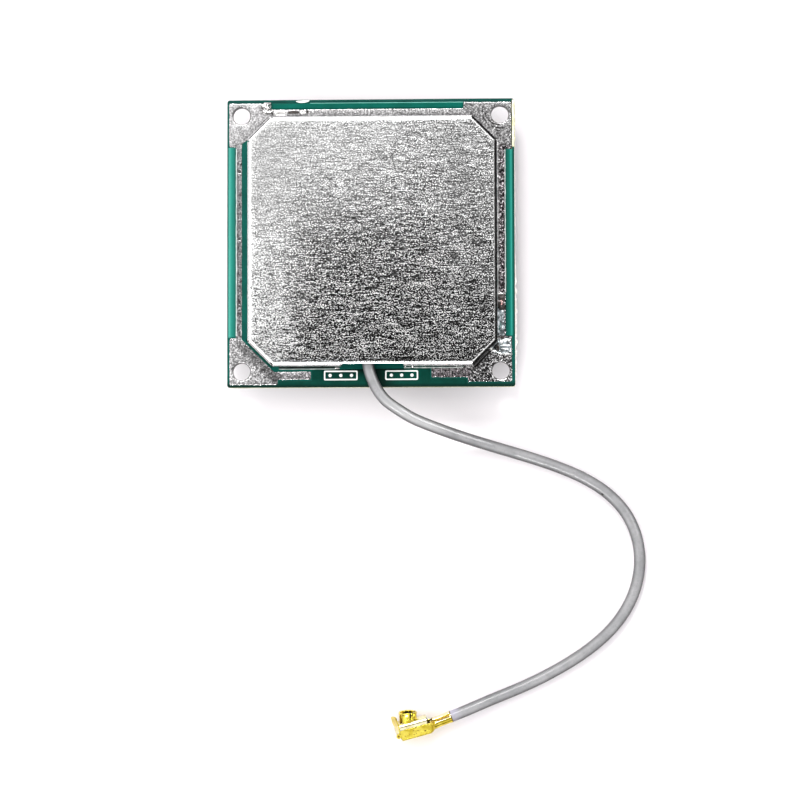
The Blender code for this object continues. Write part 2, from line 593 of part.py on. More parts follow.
def natural_spline(values, knots, at):
    """Cubic spline with free ends through values at knots."""
    n = len(knots)
    h = np.diff(knots)
    a = np.zeros((n, n))
    b = np.zeros(n)
    a[0, 0] = a[-1, -1] = 1.0
    for i in range(1, n - 1):
        a[i, i - 1], a[i, i], a[i, i + 1] = h[i - 1], 2 * (h[i - 1] + h[i]), h[i]
        b[i] = 6 * ((values[i + 1] - values[i]) / h[i] - (values[i] - values[i - 1]) / h[i - 1])
    m = np.linalg.solve(a, b)
    k = np.clip(np.searchsorted(knots, at) - 1, 0, n - 2)
    u, v = knots[k + 1] - at, at - knots[k]
    return (m[k] * u ** 3 + m[k + 1] * v ** 3) / (6 * h[k]) \
        + (values[k] / h[k] - m[k] * h[k] / 6) * u + (values[k + 1] / h[k] - m[k + 1] * h[k] / 6) * v


def ease(t):
    t = np.clip(t, 0.0, 1.0)
    return t * t * (3 - 2 * t)


route = np.array(ROUTE)
knots = np.concatenate(([0.0], np.cumsum(np.hypot(*np.diff(route, axis=0).T))))
fine = np.linspace(0.0, knots[-1], 1500)
px = natural_spline(route[:, 0], knots, fine)
py = natural_spline(route[:, 1], knots, fine)
run = np.concatenate(([0.0], np.cumsum(np.hypot(np.diff(px), np.diff(py)))))
total = run[-1]
DROP_FROM, DROP_RUN = 4.4, 21.0         # it leaves the board level and eases down to the table
RISE_RUN = 9.0                          # and eases up again to the plug's crimp
pz = Z_LEAD + (Z_TABLE - Z_LEAD) * ease((run - DROP_FROM) / DROP_RUN) \
    + (mouth.z - Z_TABLE) * ease((run - (total - RISE_RUN)) / RISE_RUN)
STEP = 2.2
count = int(round(total / STEP)) + 1
stations = np.linspace(0.0, total, count)
lead = np.stack([np.interp(stations, run, px), np.interp(stations, run, py), np.interp(stations, run, pz)], axis=1)

curve = bpy.data.curves.new("coax_jacket", "CURVE")
curve.dimensions = "3D"
curve.bevel_depth = COAX_R * MM
curve.bevel_resolution = 2
curve.use_fill_caps = True
curve.materials.append(jacket_grey)
spline = curve.splines.new("POLY")
spline.points.add(count - 1)
for i, p in enumerate(lead):
    spline.points[i].co = (p[0] * MM, p[1] * MM, p[2] * MM, 1.0)
spline.use_smooth = True
coax_jacket = bpy.data.objects.new("coax_jacket", curve)
bpy.context.scene.collection.objects.link(coax_jacket)
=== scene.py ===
import math

import bmesh
import bpy
import numpy as np
from mathutils import Matrix, Vector, noise


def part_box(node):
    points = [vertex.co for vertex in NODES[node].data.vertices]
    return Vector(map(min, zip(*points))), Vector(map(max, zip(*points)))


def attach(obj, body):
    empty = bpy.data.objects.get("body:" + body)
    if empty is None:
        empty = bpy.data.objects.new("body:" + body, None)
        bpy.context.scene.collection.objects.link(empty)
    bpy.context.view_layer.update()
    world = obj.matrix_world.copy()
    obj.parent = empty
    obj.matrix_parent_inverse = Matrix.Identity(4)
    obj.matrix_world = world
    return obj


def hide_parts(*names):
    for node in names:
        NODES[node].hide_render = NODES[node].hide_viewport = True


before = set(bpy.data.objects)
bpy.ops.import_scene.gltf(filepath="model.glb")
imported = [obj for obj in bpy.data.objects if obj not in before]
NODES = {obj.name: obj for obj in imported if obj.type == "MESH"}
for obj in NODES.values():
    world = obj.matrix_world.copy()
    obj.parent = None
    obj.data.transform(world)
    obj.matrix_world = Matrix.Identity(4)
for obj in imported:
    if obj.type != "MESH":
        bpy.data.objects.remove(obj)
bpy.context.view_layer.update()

# Looks of a small antenna module that lies face down: green board, tinplate can,
# grey coaxial lead and a gold-plated snap plug. Numbers are millimetres in the
# row frame and become metres when a vertex is made.

MM = 0.001
ROOT = "root"

# =============================================================== camera
cam_data = bpy.data.cameras.new("camera")
cam_data.lens = 146.464
cam_data.sensor_width = 36.0
cam_data.clip_start = 0.01
cam_data.clip_end = 20.0
camera = bpy.data.objects.new("camera", cam_data)
bpy.context.scene.collection.objects.link(camera)
ahead = Vector((-0.034828, 0.063971, -0.997344)).normalized()
side = ahead.cross(Vector((0, 1, 0))).normalized()
rise = side.cross(ahead)
roll = math.radians(-0.1523)
cam_x = side * math.cos(roll) + rise * math.sin(roll)
cam_y = -side * math.sin(roll) + rise * math.cos(roll)
pose = Matrix((cam_x, cam_y, -ahead)).transposed().to_4x4()
pose.translation = Vector((17.2526, -44.4152, 398.9375)) * MM
camera.matrix_world = pose
bpy.context.scene.camera = camera
bpy.context.scene.view_settings.view_transform = "Standard"

# =============================================================== sizes
Z_BOARD, Z_TOP = 4.38, 5.38
Z_CAN = 5.40
CAN_CX, CAN_CY, CAN_X, CAN_Y, CAN_H = 0.265, 0.07, 30.27, 30.35, 2.4
CAN_LEG = 2.95
HOLE_X, HOLE_Y, HOLE_R = 15.75, 15.65, 1.1
COAX_R = 0.71
COAX_X, JACKET_END_Y = -0.35, -13.3
Z_LEAD = Z_TOP + 0.02 + COAX_R + 0.01
Z_TABLE = COAX_R + 0.03


# =============================================================== shaders
class Shader:
    """A principled material with short ways to add procedural nodes."""

    def __init__(self, name, color, rough, metal=0.0, **more):
        self.mat = bpy.data.materials.new(name)
        self.mat.use_nodes = True
        self.tree = self.mat.node_tree
        self.bsdf = self.tree.nodes["Principled BSDF"]
        self.bsdf.inputs["Base Color"].default_value = (*color, 1.0)
        self.bsdf.inputs["Roughness"].default_value = rough
        self.bsdf.inputs["Metallic"].default_value = metal
        for key, value in more.items():
            self.bsdf.inputs[key.replace("_", " ")].default_value = value
        self.mat.diffuse_color = (*color, 1.0)
        self.coord = None

    def put(self, socket, value):
        if isinstance(value, bpy.types.NodeSocket):
            self.tree.links.new(value, socket)
        elif isinstance(value, (tuple, list)) and len(value) == 3 and socket.type == "RGBA":
            socket.default_value = (*value, 1.0)
        else:
            socket.default_value = value

    def object_mm(self, scale=(1, 1, 1), shift=(0, 0, 0), turn=(0, 0, 0)):
        if self.coord is None:
            self.coord = self.tree.nodes.new("ShaderNodeTexCoord")
        m = self.tree.nodes.new("ShaderNodeMapping")
        m.vector_type = "POINT"
        m.inputs["Scale"].default_value = [1000.0 * s for s in scale]
        m.inputs["Location"].default_value = shift
        m.inputs["Rotation"].default_value = [math.radians(t) for t in turn]
        self.tree.links.new(self.coord.outputs["Object"], m.inputs["Vector"])
        return m.outputs["Vector"]

    def noise(self, vec, scale=1.0, detail=2.0, rough=0.5, distortion=0.0):
        n = self.tree.nodes.new("ShaderNodeTexNoise")
        self.put(n.inputs["Vector"], vec)
        n.inputs["Scale"].default_value = scale
        n.inputs["Detail"].default_value = detail
        n.inputs["Roughness"].default_value = rough
        n.inputs["Distortion"].default_value = distortion
        return n.outputs["Fac"]

    def cells(self, vec, scale=1.0, feature="F1", output="Distance", randomness=1.0):
        n = self.tree.nodes.new("ShaderNodeTexVoronoi")
        n.feature = feature
        self.put(n.inputs["Vector"], vec)
        n.inputs["Scale"].default_value = scale
        n.inputs["Randomness"].default_value = randomness
        return n.outputs[output]

    def ramp(self, fac, stops, interpolation="LINEAR"):
        n = self.tree.nodes.new("ShaderNodeValToRGB")
        n.color_ramp.interpolation = interpolation
        while len(n.color_ramp.elements) < len(stops):
            n.color_ramp.elements.new(0.5)
        for e, (at, value) in zip(n.color_ramp.elements, stops):
            e.position = at
            e.color = (value, value, value, 1.0) if isinstance(value, (int, float)) else (*value, 1.0)
        self.put(n.inputs["Fac"], fac)
        return n.outputs["Color"]

    def mix(self, fac, a, b, blend="MIX"):
        n = self.tree.nodes.new("ShaderNodeMix")
        n.data_type = "RGBA"
        n.blend_type = blend
        n.clamp_factor = True
        self.put(n.inputs[0], fac)
        self.put(n.inputs[6], a)
        self.put(n.inputs[7], b)
        return n.outputs[2]

    def math(self, op, a, b=0.0, c=0.0, clamp=False):
        n = self.tree.nodes.new("ShaderNodeMath")
        n.operation = op
        n.use_clamp = clamp
        self.put(n.inputs[0], a)
        self.put(n.inputs[1], b)
        self.put(n.inputs[2], c)
        return n.outputs[0]

    def split(self, vec):
        n = self.tree.nodes.new("ShaderNodeSeparateXYZ")
        self.put(n.inputs[0], vec)
        return n.outputs

    def span(self, value, a, b, lo=0.0, hi=1.0, smooth=True):
        n = self.tree.nodes.new("ShaderNodeMapRange")
        n.interpolation_type = "SMOOTHSTEP" if smooth else "LINEAR"
        self.put(n.inputs["Value"], value)
        n.inputs["From Min"].default_value = a
        n.inputs["From Max"].default_value = b
        n.inputs["To Min"].default_value = lo
        n.inputs["To Max"].default_value = hi
        return n.outputs["Result"]

    def spot(self, vec, at, radius, soft):
        """1 within radius of a point given in mm, falling to 0 over soft."""
        n = self.tree.nodes.new("ShaderNodeVectorMath")
        n.operation = "DISTANCE"
        self.put(n.inputs[0], vec)
        n.inputs[1].default_value = at
        return self.span(n.outputs["Value"], radius, radius + soft, 1.0, 0.0)

    def normal(self):
        g = self.tree.nodes.new("ShaderNodeNewGeometry")
        return self.split(g.outputs["Normal"])

    def normal_z(self):
        return self.normal()[2]

    def facing(self, way):
        """How far the surface faces a fixed direction of the object."""
        g = self.tree.nodes.new("ShaderNodeNewGeometry")
        n = self.tree.nodes.new("ShaderNodeVectorMath")
        n.operation = "DOT_PRODUCT"
        self.put(n.inputs[0], g.outputs["Normal"])
        n.inputs[1].default_value = Vector(way).normalized()
        return n.outputs["Value"]

    def bump(self, height, distance, strength=1.0, under=None):
        n = self.tree.nodes.new("ShaderNodeBump")
        n.inputs["Strength"].default_value = strength
        n.inputs["Distance"].default_value = distance * MM
        self.put(n.inputs["Height"], height)
        if under is not None:
            self.put(n.inputs["Normal"], under)
        return n.outputs["Normal"]

    def use(self, **sockets):
        for key, value in sockets.items():
            self.put(self.bsdf.inputs[key.replace("_", " ")], value)
        return self.mat


def mottle(s, grain, mean, spread, tint=(1.0, 1.0, 1.0), low=0.06):
    """Colour whose display value is mean + spread * grain; grain has mean 0 and deviation 1."""
    value = s.math("ADD", mean, s.math("MULTIPLY", spread, grain))
    value = s.math("MINIMUM", s.math("MAXIMUM", value, low), 0.985)
    value = s.math("POWER", value, 2.2)
    return s.mix(value, (0.0, 0.0, 0.0), tint)


def tinplate_material():
    s = Shader("tinplate_grain", (0.62, 0.62, 0.61), 0.22, 1.0)
    flat = s.object_mm()
    xyz = s.split(flat)
    # rolled grain: fine speckle drawn out along x, with longer lines in it
    fine = s.noise(s.object_mm((6.6, 8.8, 4.0)), 1.0, 0.0, 0.7)
    line = s.noise(s.object_mm((0.78, 8.0, 3.0), (3.1, 0.7, 0.0)), 1.0, 1.0, 0.5)
    cloud = s.noise(s.object_mm((0.22, 0.9, 0.5), (8.0, 1.0, 0.0)), 1.0, 2.0, 0.6)
    grain = s.math("ADD", s.math("MULTIPLY", s.math("SUBTRACT", fine, 0.5), 9.6),
                   s.math("MULTIPLY", s.math("SUBTRACT", line, 0.5), 5.4))
    # the speckle is quiet towards the upper left and busy towards the lower middle
    slope = s.math("ADD", s.math("MULTIPLY", xyz[0], 0.024), s.math("MULTIPLY", xyz[1], -0.040))
    slope = s.math("ADD", slope, s.math("MULTIPLY", s.math("SUBTRACT", cloud, 0.5), 0.7))
    busy = s.span(slope, -0.9, 0.9)
    spread = s.math("ADD", 0.095, s.math("MULTIPLY", busy, 0.27))
    # where the speckle is busy the tin is also made darker: painted shade towards the lower middle
    mean = s.math("SUBTRACT", 0.840, s.math("MULTIPLY", busy, 0.23))
    mean = s.math("ADD", mean, s.math("MULTIPLY", s.math("SUBTRACT", cloud, 0.5), -0.10))
    # painted shade and painted light: darker across the lower middle, lighter towards the left and right sides and at
    # the left fold
    left = s.span(xyz[0], -7.0, -12.0)
    right = s.span(xyz[0], 6.0, 11.0)
    low = s.span(xyz[1], 6.0, -2.0)
    mean = s.math("SUBTRACT", mean, 0.180)
    mean = s.math("SUBTRACT", mean, s.math("MULTIPLY", low, s.math("SUBTRACT", 0.150, s.math("MULTIPLY", left, 0.180))))
    mean = s.math("SUBTRACT", mean, s.span(xyz[0], -6.0, 12.0, 0.0, 0.025))
    mean = s.math("ADD", mean, s.math("MULTIPLY", s.math("MULTIPLY", left, low), 0.105))
    mean = s.math("ADD", mean, s.math("MULTIPLY", s.math("MULTIPLY", right, low), 0.095))
    foot = s.math("MULTIPLY", s.span(xyz[0], -8.0, -11.5), s.span(xyz[1], -5.0, -9.0))
    mean = s.math("ADD", mean, s.math("MULTIPLY", foot, 0.100))
    middle = s.math("MULTIPLY", s.span(s.math("ABSOLUTE", xyz[0]), 8.0, 4.0), low)
    mean = s.math("SUBTRACT", mean, s.math("MULTIPLY", middle, 0.060))
    mean = s.math("ADD", mean, s.span(xyz[0], -13.3, -14.3, 0.0, 0.05))
    deep = s.math("MULTIPLY", s.span(xyz[1], -3.0, -8.0), s.span(xyz[0], -9.0, -4.0))
    mean = s.math("SUBTRACT", mean, s.math("MULTIPLY", deep, 0.145))
    spread = s.math("MULTIPLY", spread, s.span(low, 0.0, 1.0, 1.04, 1.32))
    spread = s.math("ADD", spread, s.math("MULTIPLY", deep, 0.13))
    spread = s.math("MULTIPLY", spread, s.math("SUBTRACT", 1.0, s.math("MULTIPLY", s.math("MAXIMUM", right, left), 0.24)))
    # painted highlight and painted shade: the folds are made lighter, and dark where they face right
    way = s.normal()
    fold = s.span(way[2], 0.990, 0.965)
    right_fold_shade = s.math("MULTIPLY", s.span(way[0], 0.18, 0.40), s.span(way[0], 0.97, 0.88))
    worn = s.math("SUBTRACT", 0.92, s.math("MULTIPLY", right_fold_shade, 0.80))
    mean = s.math("ADD", mean, s.math("MULTIPLY", fold, s.math("SUBTRACT", worn, mean)))
    spread = s.math("MULTIPLY", spread, s.math("SUBTRACT", 1.0, s.math("MULTIPLY", fold, 0.85)))
    color = mottle(s, grain, mean, spread, (1.0, 1.0, 0.995))
    # two pinholes near the left edge
    pits = s.math("MAXIMUM", s.spot(flat, (-14.45, -5.62, 7.8), 0.07, 0.05),
                  s.spot(flat, (-13.78, -4.47, 7.8), 0.04, 0.04))
    color = s.mix(pits, color, (0.015, 0.014, 0.013))
    rough = s.span(s.noise(s.object_mm((0.25, 0.6, 0.4)), 1.0, 3.0), 0.3, 0.7, 0.20, 0.26)
    normal = s.bump(fine, 0.002, 0.5)
    normal = s.bump(s.noise(s.object_mm((0.10, 0.16, 0.15)), 1.0, 2.0), 0.02, 0.4, normal)
    return s.use(Base_Color=color, Roughness=rough, Normal=normal)


def tinned_pad_material():
    s = Shader("tinned_copper", (0.6, 0.59, 0.58), 0.27, 1.0)
    flat = s.object_mm()
    xyz = s.split(flat)
    lumps = s.noise(s.object_mm((5.6, 5.6, 5.6)), 1.0, 1.5, 0.7)
    broad = s.noise(s.object_mm((0.5, 0.35, 0.4), (7.0, 2.0, 0.0)), 1.0, 2.0)
    grain = s.math("MULTIPLY", s.math("SUBTRACT", lumps, 0.5), 8.5)
    slope = s.math("ADD", s.math("MULTIPLY", xyz[0], 0.020), s.math("MULTIPLY", xyz[1], -0.030))
    slope = s.math("ADD", slope, s.math("MULTIPLY", s.math("SUBTRACT", broad, 0.5), 0.8))
    busy = s.span(slope, -0.8, 0.8)
    # the narrow strips and the lower bars are duller
    narrow = s.math("MULTIPLY", s.span(s.math("ABSOLUTE", xyz[0]), 15.4, 15.9, 0.0, 1.0),
                    s.span(s.math("ABSOLUTE", xyz[1]), 11.3, 12.2, 1.0, 0.0))
    bars = s.math("MULTIPLY", s.span(s.math("ABSOLUTE", xyz[0]), 12.4, 11.6, 0.0, 1.0), s.span(xyz[1], -15.0, -15.6))
    dull = s.math("MAXIMUM", narrow, bars)
    right = s.math("MULTIPLY", narrow, s.span(xyz[0], 14.0, 15.0))
    corner = s.math("MULTIPLY", s.span(xyz[0], 11.8, 12.6), s.span(xyz[1], -12.6, -13.6))
    spread = s.math("ADD", 0.12, s.math("MULTIPLY", busy, 0.11))
    top = s.math("MULTIPLY", s.span(s.math("ABSOLUTE", xyz[0]), 13.2, 12.2, 0.0, 1.0), s.span(xyz[1], 14.6, 15.1))
    low_left = s.math("MULTIPLY", s.span(xyz[0], 0.0, -8.0), s.span(xyz[1], -8.0, -12.0))
    inner = s.math("MULTIPLY", narrow, s.span(xyz[0], -15.85, -16.20))
    mean = s.math("SUBTRACT", 0.610, s.math("MULTIPLY", busy, 0.16))
    mean = s.math("SUBTRACT", mean, s.math("MULTIPLY", dull, 0.04))
    mean = s.math("SUBTRACT", mean, s.math("MULTIPLY", top, 0.085))
    mean = s.math("ADD", mean, s.math("MULTIPLY", low_left, 0.165))
    mean = s.math("SUBTRACT", mean, s.math("MULTIPLY", inner, 0.12))
    mean = s.math("SUBTRACT", mean, s.math("MULTIPLY", right, 0.20))
    beside = s.span(xyz[0], 15.3, 14.5)
    mean = s.math("ADD", mean, s.math("MULTIPLY", corner, s.math("SUBTRACT", 0.03, s.math("MULTIPLY", beside, 0.16))))
    slant = s.math("MULTIPLY", s.span(s.math("ADD", xyz[0], xyz[1]), -29.7, -28.2), s.span(xyz[1], -11.6, -12.6))
    slant = s.math("MULTIPLY", slant, s.span(xyz[0], -10.6, -11.8))
    mean = s.math("SUBTRACT", mean, s.math("MULTIPLY", slant, 0.26))
    upper_right = s.math("MULTIPLY", s.span(xyz[0], 11.0, 12.5), s.span(xyz[1], 11.0, 12.5))
    mean = s.math("SUBTRACT", mean, s.math("MULTIPLY", upper_right, 0.05))
    spread = s.math("ADD", spread, s.math("MULTIPLY", right, 0.30))
    spread = s.math("ADD", spread, s.math("MULTIPLY", corner, 0.20))
    # washer marks round the upper right hole
    n = s.tree.nodes.new("ShaderNodeVectorMath")
    n.operation = "DISTANCE"
    s.put(n.inputs[0], flat)
    n.inputs[1].default_value = (HOLE_X - 0.1, HOLE_Y + 0.35, Z_TOP)
    far = n.outputs["Value"]
    rings = s.math("SINE", s.math("MULTIPLY", s.math("ADD", far, s.math("MULTIPLY", broad, 0.5)), 17.0))
    where = s.math("MULTIPLY", s.math("MULTIPLY", s.span(far, 1.25, 1.45), s.span(far, 2.6, 2.1)),
                   s.span(s.math("ADD", xyz[0], xyz[1]), 29.9, 30.9, 1.0, 0.0))
    where = s.math("MULTIPLY", where, s.span(s.noise(s.object_mm((1.2, 1.2, 1.2), (5, 3, 0)), 1.0, 2.0), 0.38, 0.55))
    scratch = s.math("MULTIPLY", s.span(rings, 0.1, 0.9), where)
    mean = s.math("SUBTRACT", mean, s.math("MULTIPLY", scratch, 0.45))
    color = mottle(s, grain, mean, spread, (1.0, 0.985, 0.99))
    stain = s.math("MULTIPLY", dull, s.span(s.noise(s.object_mm((2.6, 2.2, 2.0)), 1.0, 3.0), 0.35, 0.62, 0.25, 1.0))
    tint = s.mix(s.span(xyz[0], -10.0, 4.0), (0.90, 0.88, 0.90), (0.94, 0.84, 0.89))
    color = s.mix(stain, color, s.mix(1.0, color, tint, "MULTIPLY"))
    spots = s.math("MULTIPLY", narrow, s.span(s.noise(s.object_mm((2.4, 1.8, 2.0), (3, 8, 0)), 1.0, 3.0), 0.60, 0.68))
    color = s.mix(spots, color, (0.030, 0.012, 0.016))
    height = s.math("SUBTRACT", lumps, s.math("MULTIPLY", scratch, 0.5))
    normal = s.bump(height, 0.010, 0.6)
    return s.use(Base_Color=color, Normal=normal)


def mask_material(name, deep, bright, rough=0.38, gloss=0.10, keep=False):
    """Green solder mask; over copper it is brighter."""
    s = Shader(name, bright, rough, 0.0, IOR=1.5, Specular_IOR_Level=gloss)
    cloud = s.noise(s.object_mm((0.35, 0.35, 0.35)), 1.0, 3.0, 0.55)
    speck = s.noise(s.object_mm((5.5, 5.5, 5.5)), 1.0, 2.0, 0.6)
    color = s.mix(s.span(cloud, 0.30, 0.70), deep, bright)
    color = s.mix(s.span(speck, 0.42, 0.72, 0.0, 0.35), color, [0.72 * c for c in deep])
    orange_peel = s.bump(s.noise(s.object_mm((1.6, 1.6, 1.6)), 1.0, 2.0), 0.02, 0.5)
    normal = s.bump(speck, 0.004, 0.5, orange_peel)
    if keep:
        return s, color, normal
    return s.use(Base_Color=color, Normal=normal)


def field_material():
    """Bare mask in front of the can: deep green, with painted shade darkest inside the notch and beside the lead where
    its shadow falls, and darker towards the front edge.
    """
    s = mask_material("mask_bottom_painted_shade", (0.0003, 0.029, 0.020), (0.0006, 0.046, 0.032), gloss=0.04, keep=True)
    s, color, normal = s
    xyz = s.split(s.object_mm())
    notch_shade = s.math("MULTIPLY", s.span(xyz[1], -16.05, -15.55), s.span(s.math("ABSOLUTE", xyz[0]), 4.6, 3.8))
    # painted shadow of the lead, on its right side
    beside = s.math("MULTIPLY", s.span(s.math("ADD", xyz[0], s.math("MULTIPLY", s.math("ADD", xyz[1], 17.4), 0.35)), 3.9, 0.9),
                    s.span(xyz[0], -0.9, 0.2))
    shade_and_rim = s.math("MAXIMUM", s.math("MULTIPLY", notch_shade, 0.72), s.math("MULTIPLY", beside, 0.86))
    rim = s.math("MULTIPLY", s.span(xyz[1], -17.05, -17.40), 0.45)
    shade_and_rim = s.math("MAXIMUM", shade_and_rim, rim)
    return s.use(Base_Color=s.mix(shade_and_rim, color, (0.0003, 0.006, 0.004)), Normal=normal)


def strip_material(name, stops):
    """Mask over a copper strip, with painted highlight and shade running across it: (x in mm, colour)."""
    s = Shader(name, stops[1][1], 0.36, 0.0, IOR=1.5, Specular_IOR_Level=0.08)
    x = s.split(s.object_mm())[0]
    lo, hi = stops[0][0], stops[-1][0]
    at = s.span(x, lo, hi, smooth=False)
    color = s.ramp(at, [((v - lo) / (hi - lo), c) for v, c in stops])
    cloud = s.noise(s.object_mm((0.9, 0.25, 0.5)), 1.0, 3.0, 0.55)
    speck = s.noise(s.object_mm((5.5, 5.5, 5.5)), 1.0, 2.0, 0.6)
    color = s.mix(s.span(cloud, 0.35, 0.70, 0.0, 0.30), color, s.mix(1.0, color, (0.62, 0.70, 0.68), "MULTIPLY"))
    color = s.mix(s.span(speck, 0.42, 0.72, 0.0, 0.30), color, s.mix(1.0, color, (0.66, 0.72, 0.70), "MULTIPLY"))
    return s.use(Base_Color=color, Normal=s.bump(speck, 0.004, 0.5))


def laminate_material():
    """The board's solid: mask on its faces, glass-fibre laminate on its cut sides."""
    s = Shader("board_laminate", (0.01, 0.10, 0.08), 0.4, 0.0, Specular_IOR_Level=0.06)
    flat = s.object_mm()
    xyz = s.split(flat)
    nz = s.normal_z()
    up = s.math("ABSOLUTE", nz)
    cloud = s.noise(s.object_mm((0.5, 0.5, 0.5)), 1.0, 3.0)
    weave = s.noise(s.object_mm((6.0, 6.0, 0.9), (1, 2, 3)), 1.0, 3.0, 0.7)
    speck = s.noise(s.object_mm((5.0, 5.0, 5.0)), 1.0, 2.0, 0.6)
    mask = s.mix(s.span(cloud, 0.3, 0.7), (0.0004, 0.058, 0.045), (0.0008, 0.078, 0.060))
    mask = s.mix(s.span(speck, 0.40, 0.72, 0.0, 0.4), mask, (0.0003, 0.040, 0.030))
    # darker towards the edge in front, and a duller margin behind
    front = s.math("MULTIPLY", s.span(nz, 0.4, 0.6), s.span(xyz[1], -16.75, -17.45))
    mask = s.mix(front, mask, (0.0002, 0.016, 0.010))
    behind = s.math("MULTIPLY", s.span(nz, 0.4, 0.6), s.span(xyz[1], 17.15, 17.25))
    mask = s.mix(behind, mask, (0.004, 0.050, 0.040))
    layers = s.math("SINE", s.math("MULTIPLY", xyz[2], 52.0))
    cut = s.mix(s.span(weave, 0.35, 0.65), (0.42, 0.43, 0.25), (0.80, 0.78, 0.58))
    cut = s.mix(s.span(layers, 0.2, 1.0, 0.0, 0.35), cut, (0.28, 0.30, 0.15))
    color = s.mix(s.span(up, 0.4, 0.6), cut, mask)
    normal = s.bump(s.math("ADD", weave, s.math("MULTIPLY", layers, 0.3)), 0.02, 0.6)
    return s.use(Base_Color=color, Normal=normal)


def solder_material(name, dirt, tones=((0.42, 0.41, 0.40), (0.88, 0.87, 0.86))):
    s = Shader(name, (0.72, 0.715, 0.70), 0.14, 1.0)
    waves = s.noise(s.object_mm((1.3, 1.9, 1.6)), 1.0, 3.0, 0.6, 0.6)
    fine = s.noise(s.object_mm((6.0, 6.0, 6.0)), 1.0, 2.0)
    low, high = tones
    tone = s.mix(s.span(waves, 0.36, 0.64), low, high)
    crust = s.span(s.noise(s.object_mm((2.1, 2.1, 2.1), (4, 1, 2)), 1.0, 3.0, 0.7), 0.56, 0.66, 0.0, dirt)
    color = s.mix(crust, tone, (0.07, 0.045, 0.03))
    rough = s.span(s.math("ADD", fine, s.math("MULTIPLY", crust, 0.8)), 0.35, 1.2, 0.08, 0.45)
    return s.use(Base_Color=color, Roughness=rough, Normal=s.bump(waves, 0.06, 0.7))


def jacket_material():
    s = Shader("lead_jacket", (0.17, 0.17, 0.175), 0.32, 0.0, Coat_Weight=0.65, Coat_Roughness=0.09, Coat_IOR=1.36,
               Specular_IOR_Level=0.10, Subsurface_Weight=0.05, Subsurface_Scale=0.0006)
    s.bsdf.inputs["Subsurface Radius"].default_value = (1.0, 0.9, 0.85)
    flat = s.object_mm()
    cloud = s.noise(s.object_mm((0.5, 0.5, 0.5)), 1.0, 3.0, 0.6)
    speck = s.noise(s.object_mm((3.2, 3.2, 3.2)), 1.0, 3.0, 0.65)
    color = s.mix(s.span(cloud, 0.3, 0.7), (0.225, 0.225, 0.230), (0.290, 0.288, 0.293))
    color = s.mix(s.span(speck, 0.45, 0.75, 0.0, 0.4), color, (0.165, 0.165, 0.17))
    # a paler patch where the lead comes off the board; the flanks, most of all those facing right and forward, are
    # darkened as painted shade
    pale = s.math("MULTIPLY", s.spot(flat, (4.6, -21.2, 3.5), 2.6, 3.4), 0.75)
    color = s.mix(pale, color, (0.42, 0.42, 0.42))
    flank_shade = s.math("MULTIPLY", s.span(s.normal_z(), 0.95, 0.42), s.span(s.normal_z(), -0.35, 0.15, 0.15, 1.0))
    side = s.span(s.facing((0.78, -0.60, 0.0)), -0.75, 0.25, 0.70, 0.97)
    color = s.mix(s.math("MULTIPLY", flank_shade, side), color, (0.030, 0.030, 0.031))
    # the jacket is paler where it was heated, next to the crimp
    heated = s.spot(flat, (9.6, -57.1, 1.5), 0.35, 1.1)
    color = s.mix(heated, color, (0.36, 0.34, 0.42))
    dots = None
    for at, r in (((28.05, -30.55, 1.2), 0.13), ((31.35, -34.05, 1.2), 0.09), ((24.6, -28.25, 1.3), 0.05)):
        d = s.spot(flat, at, r, 0.10)
        dots = d if dots is None else s.math("MAXIMUM", dots, d)
    color = s.mix(dots, color, (0.03, 0.028, 0.026))
    rough = s.span(cloud, 0.3, 0.7, 0.26, 0.38)
    ripple = s.bump(s.noise(s.object_mm((0.8, 0.8, 0.8)), 1.0, 3.0, 0.6), 0.035, 0.5)
    return s.use(Base_Color=color, Roughness=rough, Normal=s.bump(speck, 0.010, 0.5), Coat_Normal=ripple)


def gold_material(name="gold_plate_satin", low=(0.50, 0.37, 0.019), high=(0.76, 0.63, 0.10), worn=0.6, pale=None):
    s = Shader(name, (0.90, 0.74, 0.12), 0.2, 1.0)
    cloud = s.noise(s.object_mm((0.9, 0.9, 0.9)), 1.0, 3.0, 0.6)
    drawn = s.noise(s.object_mm((2.0, 9.0, 9.0), (0, 0, 0), (0, 0, -15)), 1.0, 3.0, 0.6)
    color = s.mix(s.span(cloud, 0.32, 0.68), low, high)
    wear = s.span(s.noise(s.object_mm((4.0, 4.0, 4.0), (2, 5, 1)), 1.0, 4.0, 0.7), 0.60, 0.70, 0.0, worn)
    color = s.mix(wear, color, (0.30, 0.22, 0.02))
    # painted highlight: paler where the surface faces the given way
    if pale:
        color = s.mix(s.span(s.facing(pale), 0.74, 0.90, 0.0, 0.85), color, (0.98, 0.94, 0.72))
    rough = s.span(s.math("ADD", drawn, s.math("MULTIPLY", wear, 0.4)), 0.3, 1.0, 0.10, 0.32)
    return s.use(Base_Color=color, Roughness=rough, Normal=s.bump(drawn, 0.012, 0.5))


def silver_material():
    s = Shader("fired_silver_satin", (0.80, 0.79, 0.76), 0.4, 1.0)
    print_marks = s.noise(s.object_mm((1.1, 5.0, 1.0)), 1.0, 3.0, 0.6)
    cloud = s.noise(s.object_mm((0.18, 0.18, 0.18)), 1.0, 3.0)
    color = s.mix(s.span(cloud, 0.3, 0.7), (0.70, 0.68, 0.64), (0.86, 0.85, 0.83))
    tarnish = s.span(s.noise(s.object_mm((0.5, 0.5, 0.5), (3, 9, 0)), 1.0, 4.0, 0.6), 0.58, 0.74, 0.0, 0.5)
    color = s.mix(tarnish, color, (0.52, 0.46, 0.36))
    rough = s.span(print_marks, 0.3, 0.7, 0.32, 0.48)
    return s.use(Base_Color=color, Roughness=rough, Normal=s.bump(print_marks, 0.012, 0.5))


